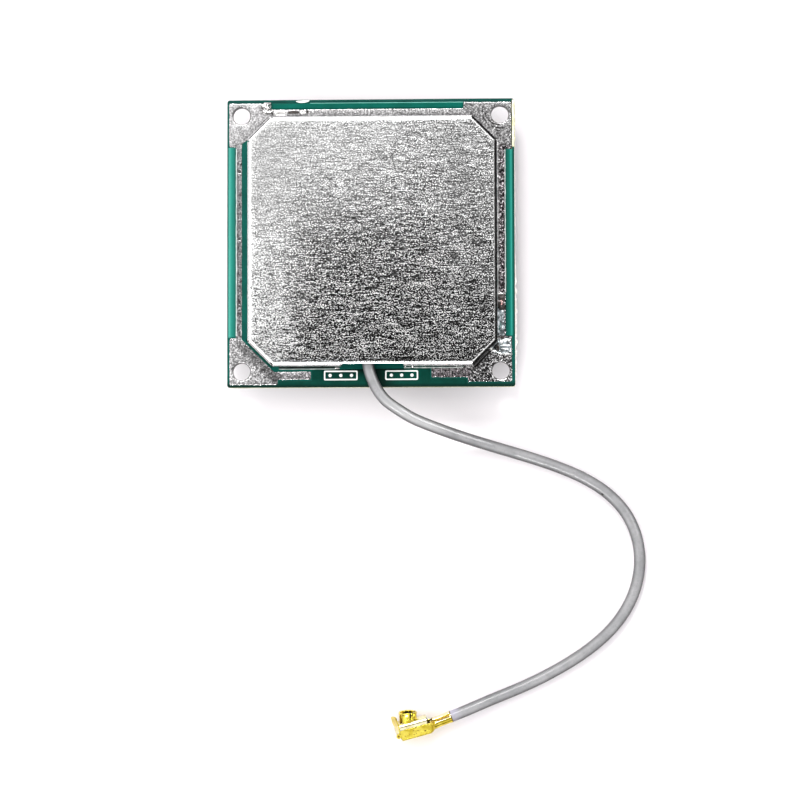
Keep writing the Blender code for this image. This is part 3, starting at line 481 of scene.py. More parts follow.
def patch_ceramic_material():
    s = Shader("microwave_ceramic", (0.55, 0.43, 0.31), 0.62)
    grain = s.noise(s.object_mm((4.0, 4.0, 4.0)), 1.0, 4.0, 0.7)
    cloud = s.noise(s.object_mm((0.3, 0.3, 0.3)), 1.0, 3.0)
    color = s.mix(s.span(cloud, 0.3, 0.7), (0.50, 0.38, 0.27), (0.60, 0.48, 0.35))
    color = s.mix(s.span(grain, 0.55, 0.75, 0.0, 0.5), color, (0.34, 0.25, 0.17))
    return s.use(Base_Color=color, Normal=s.bump(grain, 0.02, 0.6))


def plain_material(name, a, b, rough, metal=0.0, scale=3.0, distance=0.01, **more):
    s = Shader(name, a, rough, metal, **more)
    grain = s.noise(s.object_mm((scale, scale, scale)), 1.0, 3.0, 0.6)
    color = s.mix(s.span(grain, 0.35, 0.68), a, b)
    return s.use(Base_Color=color, Normal=s.bump(grain, distance, 0.5),
                 Roughness=s.span(grain, 0.3, 0.7, rough * 0.85, min(1.0, rough * 1.15)))


def chip_material(name, body, ends_at, axis, centre, a=0.6):
    """Chip part: tinned terminations beyond ends_at mm from its middle along one axis."""
    s = Shader(name, body, 0.45)
    xyz = s.split(s.object_mm())
    off = s.math("ABSOLUTE", s.math("SUBTRACT", xyz[axis], centre))
    tip = s.span(off, ends_at - 0.01, ends_at + 0.01)
    grain = s.noise(s.object_mm((6.0, 6.0, 6.0)), 1.0, 2.0, 0.6)
    color = s.mix(s.span(grain, 0.35, 0.65), body, [a * c for c in body])
    color = s.mix(tip, color, (0.66, 0.65, 0.63))
    return s.use(Base_Color=color, Metallic=tip, Roughness=s.span(grain, 0.3, 0.7, 0.33, 0.5),
                 Normal=s.bump(grain, 0.01, 0.5))


def braid_material():
    s = Shader("woven_braid", (0.68, 0.67, 0.64), 0.36, 1.0)
    one = s.math("SINE", s.math("MULTIPLY", s.split(s.object_mm((1, 1, 1), (0, 0, 0), (0, 0, 38)))[0], 40.0))
    two = s.math("SINE", s.math("MULTIPLY", s.split(s.object_mm((1, 1, 1), (0, 0, 0), (0, 0, -38)))[0], 40.0))
    weave = s.math("MAXIMUM", one, two)
    color = s.mix(s.span(weave, 0.1, 0.9), (0.18, 0.17, 0.16), (0.76, 0.75, 0.72))
    return s.use(Base_Color=color, Normal=s.bump(weave, 0.05, 0.8))


TINPLATE = tinplate_material()
PADS = tinned_pad_material()
MASK_COPPER = mask_material("mask_over_copper", (0.0004, 0.078, 0.056), (0.0007, 0.104, 0.076), gloss=0.04)
MASK_BARE = mask_material("mask_over_laminate", (0.0005, 0.028, 0.019), (0.0008, 0.044, 0.031), gloss=0.05)
MASK_FIELD = field_material()
# painted highlight near the outer edge of the left strip and of the right strip
MASK_LEFT = strip_material("mask_left_strip_painted_highlight", [
    (-17.40, (0.043, 0.195, 0.158)), (-17.28, (0.078, 0.350, 0.288)), (-17.10, (0.038, 0.268, 0.215)),
    (-16.95, (0.013, 0.188, 0.148)), (-16.72, (0.010, 0.150, 0.115)), (-16.57, (0.006, 0.100, 0.078)),
    (-16.44, (0.030, 0.160, 0.135))])
MASK_RIGHT = strip_material("mask_right_strip_painted_highlight", [
    (16.40, (0.0004, 0.040, 0.030)), (16.55, (0.0006, 0.080, 0.060)), (16.85, (0.0008, 0.115, 0.085)),
    (17.00, (0.006, 0.190, 0.148)), (17.12, (0.030, 0.285, 0.235)), (17.22, (0.0010, 0.110, 0.080)),
    (17.47, (0.0003, 0.030, 0.020))])
# pale mint mask: painted highlight on the top strip's upper bevel
MASK_RIDGE_LIT = mask_material("mask_ridge_painted_highlight", (0.10, 0.36, 0.30), (0.14, 0.44, 0.37), gloss=0.2)
MASK_MARGIN = mask_material("mask_margin", (0.003, 0.048, 0.038), (0.006, 0.070, 0.056), gloss=0.05)
# painted shadow: flat black laid where gaps beside the can are in shade
SHADOW_GAP = plain_material("painted_shadow_gap", (0.003, 0.003, 0.003), (0.010, 0.009, 0.008), 0.9, scale=3.0, distance=0.02,
                     Specular_IOR_Level=0.03)
TIN_EDGE = plain_material("bright_tin_edge", (0.36, 0.44, 0.42), (0.60, 0.66, 0.64), 0.5, scale=2.0, distance=0.01)
BORE_SHADED = plain_material("plated_bore_painted_shade", (0.045, 0.042, 0.042), (0.11, 0.105, 0.10), 0.40, 1.0, scale=3.0)
LAMINATE = laminate_material()
SOLDER = solder_material("bright_solder", 0.25)
# a darker copy of the solder: painted shade
SOLDER_SHADED = solder_material("solder_painted_shade", 0.25, ((0.10, 0.115, 0.12), (0.50, 0.54, 0.56)))
# a lighter copy of the solder for the wick line and the tack's ridges: painted highlight
SOLDER_LIT = plain_material("wick_solder_painted_highlight", (0.80, 0.80, 0.79), (0.92, 0.92, 0.91), 0.30, 1.0, scale=2.0, distance=0.01)
SOLDER_ROSE = plain_material("flux_tinted_solder", (0.42, 0.24, 0.22), (0.75, 0.58, 0.56), 0.25, 1.0, scale=3.0,
                             distance=0.02)
JACKET = jacket_material()
GOLD = gold_material()
# a paler copy of the gold for the socket's flange: painted highlight
GOLD_LIT = gold_material("gold_plate_painted_highlight", (0.80, 0.71, 0.38), (0.95, 0.89, 0.62), 0.35)
GOLD_CRIMP = gold_material("gold_plate_crimp_painted_highlight", (0.50, 0.37, 0.02), (0.78, 0.64, 0.10), 0.6, (-0.22, 0.55, 0.80))
# real tarnish, and painted shade at the crimp's end and in its seam
TARNISH_AND_SHADE = plain_material("tarnished_gold_and_painted_shade", (0.10, 0.055, 0.01), (0.22, 0.13, 0.02), 0.4, 1.0, scale=6.0)
SILVER = silver_material()
CERAMIC = patch_ceramic_material()
HOLE_DARK = plain_material("via_shadow", (0.012, 0.011, 0.011), (0.03, 0.028, 0.026), 0.6)
FIBRE = plain_material("broken_laminate", (0.62, 0.60, 0.36), (0.86, 0.84, 0.66), 0.8, scale=2.5, distance=0.06)
FIBRE_WHITE = plain_material("chipped_laminate", (0.85, 0.85, 0.80), (0.95, 0.95, 0.92), 0.8, scale=3.0,
                             distance=0.04)
FIBRE_PALE = plain_material("pale_laminate", (0.72, 0.68, 0.62), (0.93, 0.90, 0.87), 0.85, scale=2.5, distance=0.05)
OLIVE = plain_material("bruised_mask", (0.008, 0.012, 0.004), (0.055, 0.060, 0.020), 0.6, scale=2.2, distance=0.02)
SILKSCREEN_DULL = plain_material("worn_print", (0.22, 0.26, 0.25), (0.50, 0.52, 0.50), 0.55, scale=2.0, distance=0.01)
SILKSCREEN = plain_material("white_print", (0.80, 0.81, 0.79), (0.88, 0.88, 0.86), 0.55, scale=5.0, distance=0.01)
# real burnt flux, and painted shade in the top gap and in the top left tack's folds
FLUX_AND_SHADE = plain_material("burnt_flux_and_painted_shade", (0.006, 0.004, 0.003), (0.030, 0.018, 0.012), 0.35, scale=4.0, distance=0.03,
                      Specular_IOR_Level=0.35)
TAPE = plain_material("bonding_tape", (0.72, 0.71, 0.66), (0.80, 0.79, 0.75), 0.75, scale=1.5, distance=0.03)
MOULDING = plain_material("black_moulding", (0.016, 0.016, 0.018), (0.035, 0.035, 0.037), 0.55, scale=6.0,
                          distance=0.01)
INSULATOR = plain_material("black_insulator", (0.010, 0.010, 0.011), (0.022, 0.022, 0.023), 0.42, scale=4.0,
                           distance=0.006)
FILTER = plain_material("filter_ceramic", (0.62, 0.57, 0.48), (0.74, 0.70, 0.62), 0.5, scale=3.0, distance=0.01)
DIELECTRIC = plain_material("white_dielectric", (0.80, 0.80, 0.78), (0.88, 0.88, 0.86), 0.35, scale=3.0,
                            distance=0.005)
CORE = plain_material("silvered_wire", (0.80, 0.79, 0.75), (0.88, 0.87, 0.84), 0.22, 1.0, scale=4.0, distance=0.004)
PIN = plain_material("tinned_pin", (0.70, 0.69, 0.66), (0.80, 0.79, 0.77), 0.28, 1.0, scale=3.0, distance=0.01)
BRAID = braid_material()


SLOT_OF = {m: "board_green" for m in (MASK_COPPER, MASK_BARE, MASK_FIELD, MASK_LEFT, MASK_RIGHT, MASK_RIDGE_LIT, MASK_MARGIN, FIBRE,
                                     FIBRE_WHITE, FIBRE_PALE, OLIVE)}
SLOT_OF.update({m: "solder" for m in (PADS, TIN_EDGE, BORE_SHADED, SOLDER, SOLDER_SHADED, SOLDER_LIT, SOLDER_ROSE)})
SLOT_OF.update({TINPLATE: "tinplate", GOLD: "gold_plate", GOLD_LIT: "gold_plate", GOLD_CRIMP: "gold_plate", TARNISH_AND_SHADE: "gold_plate"})


# =============================================================== mesh helpers
def finish(name, bm, mat, smooth=35.0, body=ROOT, weighted=False):
    bmesh.ops.recalc_face_normals(bm, faces=bm.faces[:])
    for v in bm.verts:
        v.co *= MM
    me = bpy.data.meshes.new(name)
    bm.to_mesh(me)
    bm.free()
    me.materials.append(mat)
    me.shade_smooth()
    me.set_sharp_from_angle(angle=math.radians(smooth))
    ob = bpy.data.objects.new(name, me)
    bpy.context.scene.collection.objects.link(ob)
    if weighted:
        m = ob.modifiers.new("even_normals", "WEIGHTED_NORMAL")
        m.weight = 100
        m.keep_sharp = True
    if body:
        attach(ob, body)
    return ob


def bake_modifiers(ob):
    """Replace the mesh by its evaluated form."""
    dg = bpy.context.evaluated_depsgraph_get()
    dg.update()
    me = bpy.data.meshes.new_from_object(ob.evaluated_get(dg), depsgraph=dg)
    ob.modifiers.clear()
    ob.data = me
    return ob


def edge_bevel(ob, width, segments=2, angle=40.0):
    m = ob.modifiers.new("edges", "BEVEL")
    m.width = width * MM
    m.segments = segments
    m.limit_method = "ANGLE"
    m.angle_limit = math.radians(angle)
    m.harden_normals = False
    return ob


def arc(cx, cy, r, a0, a1, seg):
    return [(cx + r * math.cos(math.radians(a0 + (a1 - a0) * i / seg)),
             cy + r * math.sin(math.radians(a0 + (a1 - a0) * i / seg))) for i in range(seg + 1)]


def circle(cx, cy, r, n):
    return [(cx + r * math.cos(2 * math.pi * i / n), cy + r * math.sin(2 * math.pi * i / n)) for i in range(n)]


def area_of(pts):
    return 0.5 * sum(a[0] * b[1] - b[0] * a[1] for a, b in zip(pts, pts[1:] + pts[:1]))


def rounded(pts, r, seg=3):
    """Round every corner of a polygon. r is one radius or one for each corner."""
    out = []
    n = len(pts)
    for i in range(n):
        p = Vector(pts[i])
        back = Vector(pts[i - 1]) - p
        fore = Vector(pts[(i + 1) % n]) - p
        rr = r[i] if isinstance(r, (list, tuple)) else r
        if rr <= 0:
            out.append((p.x, p.y))
            continue
        half = 0.5 * back.angle(fore)
        cut = min(rr / math.tan(half), 0.45 * back.length, 0.45 * fore.length)
        rr = cut * math.tan(half)
        a = p + back.normalized() * cut
        b = p + fore.normalized() * cut
        mid = p + (back.normalized() + fore.normalized()).normalized() * (rr / math.sin(half))
        a0 = math.atan2(a.y - mid.y, a.x - mid.x)
        a1 = math.atan2(b.y - mid.y, b.x - mid.x)
        turn = (a1 - a0 + math.pi) % (2 * math.pi) - math.pi
        for k in range(seg + 1):
            t = a0 + turn * k / seg
            out.append((mid.x + rr * math.cos(t), mid.y + rr * math.sin(t)))
    return out


def inset(pts, d):
    """Move a counter-clockwise outline inwards by d."""
    out = []
    n = len(pts)
    for i in range(n):
        p0, p1, p2 = Vector(pts[i - 1]), Vector(pts[i]), Vector(pts[(i + 1) % n])
        a, b = (p1 - p0).normalized(), (p2 - p1).normalized()
        na, nb = Vector((-a.y, a.x)), Vector((-b.y, b.x))
        q = p1 + (na + nb) * (d / max(0.35, 1.0 + na.dot(nb)))
        out.append((q.x, q.y))
    return out


def ring_faces(bm, low, high):
    n = len(low)
    for i in range(n):
        j = (i + 1) % n
        bm.faces.new((low[i], low[j], high[j], high[i]))


def slab(name, outer, holes, z0, z1, edge, mat, steps=3, drop=None, weighted=True, ragged=0.0, seed=0.0):
    """Thin plate with rounded top edges, with holes."""
    drop = edge if drop is None else drop
    if area_of(outer) < 0:
        outer = outer[::-1]
    if ragged:
        outer = roughen(outer, ragged, seed)
    bm = bmesh.new()
    rims = []
    for loop, sign in [(outer, 1)] + [(h if area_of(h) > 0 else h[::-1], -1) for h in holes]:
        rows = [[bm.verts.new((x, y, z0)) for x, y in loop]]
        for k in range(steps + 1):
            a = 0.5 * math.pi * k / steps
            pts = inset(loop, sign * edge * (1 - math.cos(a)))
            rows.append([bm.verts.new((x, y, z1 - drop * (1 - math.sin(a)))) for x, y in pts])
        for low, high in zip(rows, rows[1:]):
            ring_faces(bm, low, high)
        rims.append((rows[0], rows[-1]))
    for which in (0, 1):
        edges = []
        for pair in rims:
            loop = pair[which]
            for i in range(len(loop)):
                e = bm.edges.get((loop[i], loop[(i + 1) % len(loop)]))
                edges.append(e)
        bmesh.ops.triangle_fill(bm, use_beauty=True, use_dissolve=False, edges=edges)
    return finish(name, bm, mat, 40.0, weighted=weighted)


def roughen(pts, amount, seed, step=0.35):
    """Resample an outline and make it slightly uneven, as an etched or dipped edge is."""
    out = []
    n = len(pts)
    for i in range(n):
        a, b = Vector(pts[i]), Vector(pts[(i + 1) % n])
        count = max(1, int((b - a).length / step))
        for k in range(count):
            p = a.lerp(b, k / count)
            out.append((p.x + amount * noise.noise(Vector((p.x * 1.7, p.y * 1.7, seed))),
                        p.y + amount * noise.noise(Vector((p.x * 1.7, p.y * 1.7, seed + 9.0)))))
    return out


def loft(rings, closed=False, caps=True):
    bm = bmesh.new()
    rows = [[bm.verts.new(p) for p in ring] for ring in rings]
    pairs = list(zip(rows, rows[1:]))
    if closed:
        pairs.append((rows[-1], rows[0]))
    for low, high in pairs:
        ring_faces(bm, low, high)
    if caps and not closed:
        bm.faces.new(rows[0][::-1])
        bm.faces.new(rows[-1])
    return bm


def join_bm(*parts):
    """Put several bmeshes into one."""
    out = bmesh.new()
    for bm in parts:
        me = bpy.data.meshes.new("tmp")
        bm.to_mesh(me)
        bm.free()
        out.from_mesh(me)
        bpy.data.meshes.remove(me)
    return out


def turned(profile, n, closed=False):
    return loft([[(r * math.cos(2 * math.pi * i / n), r * math.sin(2 * math.pi * i / n), z) for i in range(n)]
                 for r, z in profile], closed=closed)


# =============================================================== the lead
PLUG_AT = Vector((3.25, -59.05, 1.585))
turn_a, turn_b = math.radians(15.0), math.radians(10.0)
back_dir = Vector((math.cos(turn_a), math.sin(turn_a), 0.0))
flat_dir = Vector((-math.sin(turn_a), math.cos(turn_a), 0.0))
socket_dir = flat_dir * math.cos(turn_b) + Vector((0, 0, 1)) * math.sin(turn_b)
across_dir = back_dir.cross(socket_dir)
PLUG = Matrix((back_dir, socket_dir, across_dir)).transposed().to_4x4()
PLUG.translation = PLUG_AT
BARREL_X, BARREL_Y, BARREL_LEN = 4.15, -0.40, 2.3
BEND = Matrix.Translation((BARREL_X, BARREL_Y, 0)) @ Matrix.Rotation(math.radians(6.5), 4, "Z")


def barrel_point(d):
    return PLUG @ (BEND @ Vector((d, 0, 0)))


ROUTE = [(COAX_X, JACKET_END_Y), (COAX_X, -14.6), (-0.05, -16.05), (0.70, -17.80), (1.85, -19.30), (3.00, -20.15),
         (4.90, -21.30), (7.05, -22.20), (9.30, -23.00), (13.80, -24.40), (18.40, -25.75), (22.95, -27.30),
         (27.25, -29.40), (30.75, -32.65), (32.45, -37.00), (32.10, -41.70), (29.95, -45.90), (26.50, -49.25),
         (22.45, -51.85), (18.20, -53.95), (13.80, -55.75)]
mouth = barrel_point(BARREL_LEN + 0.03)
behind = barrel_point(BARREL_LEN + 1.6)
ROUTE += [(behind.x, behind.y), (mouth.x, mouth.y)]


def natural_spline(values, knots, at):
    n = len(knots)
    h = np.diff(knots)
    a = np.zeros((n, n))
    b = np.zeros(n)
    a[0, 0] = a[-1, -1] = 1.0
    for i in range(1, n - 1):
        a[i, i - 1], a[i, i], a[i, i + 1] = h[i - 1], 2 * (h[i - 1] + h[i]), h[i]
        b[i] = 6 * ((values[i + 1] - values[i]) / h[i] - (values[i] - values[i - 1]) / h[i - 1])
    m = np.linalg.solve(a, b)
    k = np.clip(np.searchsorted(knots, at) - 1, 0, n - 2)
    u, v = knots[k + 1] - at, at - knots[k]
    return (m[k] * u ** 3 + m[k + 1] * v ** 3) / (6 * h[k]) \
        + (values[k] / h[k] - m[k] * h[k] / 6) * u + (values[k + 1] / h[k] - m[k + 1] * h[k] / 6) * v


def ease(t):
    t = np.clip(t, 0.0, 1.0)
    return t * t * (3 - 2 * t)


route = np.array(ROUTE)
knots = np.concatenate(([0.0], np.cumsum(np.hypot(*np.diff(route, axis=0).T))))
fine = np.linspace(0.0, knots[-1], 1500)
px = natural_spline(route[:, 0], knots, fine)
py = natural_spline(route[:, 1], knots, fine)
run = np.concatenate(([0.0], np.cumsum(np.hypot(np.diff(px), np.diff(py)))))
total = run[-1]
pz = Z_LEAD + (Z_TABLE - Z_LEAD) * ease((run - 4.4) / 21.0) + (mouth.z - Z_TABLE) * ease((run - (total - 9.0)) / 9.0)
stations = np.linspace(0.0, total, 150)
lead = np.stack([np.interp(stations, run, px), np.interp(stations, run, py), np.interp(stations, run, pz)], axis=1)

curve = bpy.data.curves.new("lead_jacket", "CURVE")
curve.dimensions = "3D"
curve.bevel_depth = COAX_R * MM
curve.bevel_resolution = 10
curve.use_fill_caps = True
curve.materials.append(JACKET)
spline = curve.splines.new("POLY")
spline.points.add(len(lead) - 1)
for i, p in enumerate(lead):
    spline.points[i].co = (p[0] * MM, p[1] * MM, p[2] * MM, 1.0)
spline.use_smooth = True
lead_jacket = bpy.data.objects.new("lead_jacket", curve)
bpy.context.scene.collection.objects.link(lead_jacket)
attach(lead_jacket, ROOT)
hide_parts("coax_jacket")

# =============================================================== the board
hole_at = [(sx * HOLE_X, sy * HOLE_Y) for sx in (-1, 1) for sy in (-1, 1)]
VIAS = [(-16.02, 8.82, 0.20), (-16.05, 0.60, 0.17), (-15.99, -7.68, 0.15), (16.02, 10.36, 0.17), (16.03, 0.75, 0.17)]

# tinned copper: corner pads joined by strips, open at the side where the lead leaves
pad_outline = [
    (-17.28, 17.18), (-17.28, 11.83), (-16.43, 11.83), (-16.43, -11.58), (-17.22, -11.58), (-17.22, -17.27),
    (-11.35, -17.27), (-11.35, -16.64), (-7.31, -16.64), (-7.31, -15.67), (-11.80, -15.67), (-15.71, -11.74),
    (-15.71, 12.28), (-15.02, 12.66), (-12.02, 15.15), (-11.6, 15.2), (11.5, 15.2), (12.3, 14.9), (14.8, 12.3), (15.1, 11.5),
    (15.1, -11.2), (14.6, -12.3), (12.2, -14.6), (11.2, -15.15), (7.33, -15.2), (7.33, -16.44), (11.76, -16.44),
    (11.76, -16.98), (17.10, -16.98), (17.10, -11.46), (16.36, -11.46), (16.36, 11.42), (17.10, 11.42),
    (17.10, 17.18), (11.34, 17.18), (11.34, 16.42), (-12.05, 16.42), (-12.05, 17.18)]
pads = slab("tinned_pads", rounded(pad_outline, 0.12, 2),
            [circle(x, y, HOLE_R + 0.02, 48) for x, y in hole_at] + [circle(x, y, r, 16) for x, y, r in VIAS],
            Z_TOP - 0.005, Z_TOP + 0.045, 0.09, PADS, steps=3, drop=0.045, ragged=0.05, seed=2.0)

bm_parts = []
for x, y, r in VIAS:
    bm_parts.append(turned([(r + 0.01, Z_TOP + 0.030), (r * 0.8, Z_TOP + 0.012), (r * 0.35, Z_TOP + 0.006)], 20))
    bmesh.ops.translate(bm_parts[-1], verts=bm_parts[-1].verts, vec=(x, y, 0))
finish("via_bores", join_bm(*bm_parts), HOLE_DARK, 60)

# plated screw holes: thin liners with a rolled lip on both faces, coloured dark as painted shade inside the bore
bm_parts = []
for x, y in hole_at:
    prof = [(HOLE_R + 0.015, Z_BOARD - 0.03), (HOLE_R - 0.035, Z_BOARD - 0.01), (HOLE_R - 0.045, Z_BOARD + 0.10),
            (HOLE_R - 0.045, Z_TOP - 0.08), (HOLE_R - 0.03, Z_TOP + 0.035), (HOLE_R + 0.02, Z_TOP + 0.045),
            (HOLE_R + 0.03, Z_TOP - 0.0), (HOLE_R - 0.005, Z_TOP - 0.05), (HOLE_R - 0.005, Z_BOARD + 0.05)]
    b = turned(prof, 48, closed=True)
    bmesh.ops.translate(b, verts=b.verts, vec=(x, y, 0))
    bm_parts.append(b)
liners = finish("plated_hole_liners", join_bm(*bm_parts), BORE_SHADED, 50)

# mask over copper
LEFT_STRIP = [(-17.36, -11.50), (-16.44, -11.50), (-16.44, 11.76), (-17.36, 11.76)]
RIGHT_STRIP = [(16.42, -11.40), (17.46, -11.40), (17.46, 11.36), (16.42, 11.36)]
TOP_STRIP = [(-11.98, 16.48), (11.28, 16.48), (11.28, 17.16), (-11.98, 17.16)]
slab("mask_left_strip", rounded(LEFT_STRIP, 0.05), [], Z_TOP - 0.005, Z_TOP + 0.055, 0.10, MASK_LEFT, steps=4,
     drop=0.05)
slab("mask_right_strip", rounded(RIGHT_STRIP, 0.05), [], Z_TOP - 0.005, Z_TOP + 0.055, 0.08, MASK_RIGHT, steps=4,
     drop=0.05)
slab("mask_top_strip", rounded(TOP_STRIP, 0.05), [], Z_TOP - 0.005, Z_TOP + 0.055, 0.10, MASK_COPPER, steps=4,
     drop=0.05)
# its mint colour is a painted highlight
slab("mask_top_ridge", roughen([(-7.35, 17.13), (11.3, 17.13), (11.3, 17.215), (-7.35, 17.215)], 0.015, 4.0),
     [], Z_TOP - 0.005, Z_TOP + 0.065, 0.03, MASK_RIDGE_LIT, steps=2, drop=0.03)
bottom = [(-11.20, -17.42), (11.62, -17.42), (11.62, -16.58), (7.18, -16.58), (7.18, -15.30), (-7.16, -15.45),
          (-7.16, -16.78), (-11.20, -16.78)]
slab("mask_bottom_field", rounded(bottom, 0.08), [], Z_TOP - 0.005, Z_TOP + 0.05, 0.12, MASK_FIELD, steps=4, drop=0.045)
slab("mask_top_margin", rounded([(-17.38, 17.28), (16.9, 17.28), (16.9, 17.56), (-17.38, 17.56)], 0.05), [],
     Z_TOP - 0.005, Z_TOP + 0.04, 0.08, MASK_MARGIN, steps=4, drop=0.035)

# bright edges of the tinned strips beside the mask
for name, x0, x1, y0, y1 in (("tin_edge_right", 16.315, 16.415, -6.15, 11.30), ("tin_edge_left", -16.435, -16.33, -11.3, 11.6)):
    slab(name, roughen([(x0, y0), (x1, y0), (x1, y1), (x0, y1)], 0.03, x0), [], Z_TOP - 0.005, Z_TOP + 0.056, 0.03, TIN_EDGE,
         steps=2, drop=0.02)

# thin tinned line where the can's lower edge meets the board beside the notch
for name, x0, x1, y, w in (("foot_line_left", -11.2, -4.3, -15.36, 0.045), ("foot_line_right", 4.0, 11.0, -15.25, 0.05)):
    slab(name, roughen([(x0, y - w), (x1, y - w), (x1, y + w), (x0, y + w)], 0.02, x1), [], Z_TOP - 0.005,
         Z_TOP + 0.06, 0.03, SILKSCREEN_DULL, steps=2, drop=0.03)
    slab(name + "_shadow", roughen([(x0, y + 0.10), (x1, y + 0.10), (x1, y + 0.24), (x0, y + 0.24)], 0.02, x1 + 3.0), [],
         Z_TOP - 0.005, Z_TOP + 0.045, 0.03, SHADOW_GAP, steps=2, drop=0.03)

# white print: two plain marking frames
def frame_print(name, x0, y0, x1, y1, w):
    slab(name, rounded([(x0, y0), (x1, y0), (x1, y1), (x0, y1)], 0.16, 4),
         [rounded([(x0 + w, y0 + w), (x1 - w, y0 + w), (x1 - w, y1 - w), (x0 + w, y1 - w)], 0.08, 4)],
         Z_TOP + 0.040, Z_TOP + 0.068, 0.02, SILKSCREEN, steps=2)


frame_print("print_frame_left", -5.72, -16.74, -1.62, -15.56, 0.17)
frame_print("print_frame_right", 1.72, -16.74, 5.72, -15.56, 0.17)
for k, (x, y) in enumerate(((-4.97, -16.15), (-3.67, -16.15), (-2.37, -16.15), (2.47, -16.15), (3.72, -16.15), (4.97, -16.15))):
    slab("print_dot_%d" % (k + 1), circle(x, y, 0.20, 20), [], Z_TOP + 0.040, Z_TOP + 0.068, 0.02, SILKSCREEN, steps=2)

# underside: copper ring pads round the screw holes under the mask
for k, (x, y) in enumerate(hole_at):
    s = slab("under_pad_%d" % (k + 1), circle(x, y, 1.72, 48), [circle(x, y, HOLE_R + 0.02, 48)], Z_BOARD - 0.03,
             Z_BOARD + 0.005, 0.05, PADS, steps=2, drop=0.02)
    # turn the rounded side down
    for v in s.data.vertices:
        v.co.z = 2 * (Z_BOARD - 0.0125) * MM - v.co.z
    s.data.flip_normals()

# a chip out of the mask at the upper edge, and the rough break-off edge at the right
chip_pts = [(-9.14, 17.42), (-8.87, 17.29), (-8.50, 17.23), (-7.97, 17.25), (-7.60, 17.38), (-7.40, 17.55), (-8.3, 17.52),
            (-8.8, 17.49)]
slab("edge_chip", roughen(chip_pts, 0.02, 5.0, 0.2), [], Z_TOP + 0.030, Z_TOP + 0.055, 0.02, FIBRE_WHITE, steps=2)
slab("edge_chip_rim", roughen([(-8.9, 17.535), (-7.35, 17.56), (-7.35, 17.60), (-8.9, 17.60)], 0.01, 6.0, 0.2), [],
     Z_TOP + 0.010, Z_TOP + 0.060, 0.02, MASK_BARE, steps=2)
slab("break_lip_upper", roughen([(17.255, 11.7), (17.49, 11.7), (17.49, 17.42), (17.255, 17.42)], 0.05, 7.0, 0.15), [],
     Z_TOP - 0.005, Z_TOP + 0.03, 0.05, FIBRE, steps=3, drop=0.03)
slab("break_line_upper", roughen([(17.10, 11.35), (17.25, 11.35), (17.25, 17.30), (17.10, 17.30)], 0.03, 8.0, 0.2), [],
     Z_TOP - 0.005, Z_TOP + 0.04, 0.03, OLIVE, steps=2, drop=0.03)


def broken_edge(name, y0, y1, reach, seed, x_edge=17.49, sign=1, lo=4.55, hi=5.25, mat=None):
    """Rough web left where the board was snapped from its panel."""
    rows = []
    count = int(abs(y1 - y0) / 0.12)
    for i in range(count + 1):
        t = i / count
        y = y0 + (y1 - y0) * t
        fade = math.sin(math.pi * min(1.0, max(0.0, t))) ** 0.35
        out = reach * fade * (0.62 + 0.65 * noise.noise(Vector((y * 1.6, seed, 0.0)))
                              + 0.28 * noise.noise(Vector((y * 6.0, seed, 4.0))))
        out = max(0.03, out)
        up = 0.06 * noise.noise(Vector((y * 3.0, seed, 8.0)))
        rows.append([(x_edge - 0.03, y, lo), (x_edge + sign * out * 0.75, y, lo + 0.12),
                     (x_edge + sign * out, y, (lo + hi) / 2 + up), (x_edge + sign * out * 0.6, y, hi - 0.12),
                     (x_edge - 0.03, y, hi)])
    return finish(name, loft(rows), mat or FIBRE, 60)


broken_edge("break_edge_upper", 17.35, 11.5, 0.22, 1.0)
broken_edge("break_edge_lower", 11.3, -1.5, 0.16, 3.0, lo=4.42, hi=4.90, mat=FIBRE_PALE)
broken_edge("break_edge_foot", -1.2, -17.5, 0.36, 5.0, lo=4.42, hi=5.05, mat=FIBRE_PALE)


# =============================================================== the shield can
def octagon(hx, hy, leg, r, seg, cx, cy, d):
    hx, hy = hx - d, hy - d
    leg = leg - d * (2.0 - math.sqrt(2.0))
    r = max(r - d, 0.06)
    less = leg - 0.30
    corners = [(hx, -hy + leg), (hx, hy - leg), (hx - leg, hy), (-hx + less, hy),
               (-hx, hy - less), (-hx, -hy + leg), (-hx + leg, -hy), (hx - leg, -hy)]
    return [(cx + x, cy + y) for x, y in rounded(corners, r, seg)]


def can_ring(d, z):
    return [(x, y, z) for x, y in octagon(CAN_X / 2, CAN_Y / 2, CAN_LEG, 0.40, 5, CAN_CX, CAN_CY, d)]


def bend_profile():
    """Inward step and drop from the flat top, for the fold at the can's edge, from the wall inwards."""
    tilts = []
    for t0, t1, run_, count in ((90, 42, 0.20, 7), (42, 15, 0.36, 7), (15, 3, 0.20, 5), (3, 0, 0.35, 4)):
        for k in range(count):
            tilts.append((math.radians(t0 + (t1 - t0) * (k + 0.5) / count), run_ / count))
    total_drop = sum(math.sin(t) * ds for t, ds in tilts)
    pts = [(0.0, total_drop)]
    d, z = 0.0, total_drop
    for t, ds in tilts:
        d += math.cos(t) * ds
        z -= math.sin(t) * ds
        pts.append((d, max(z, 0.0)))
    return pts


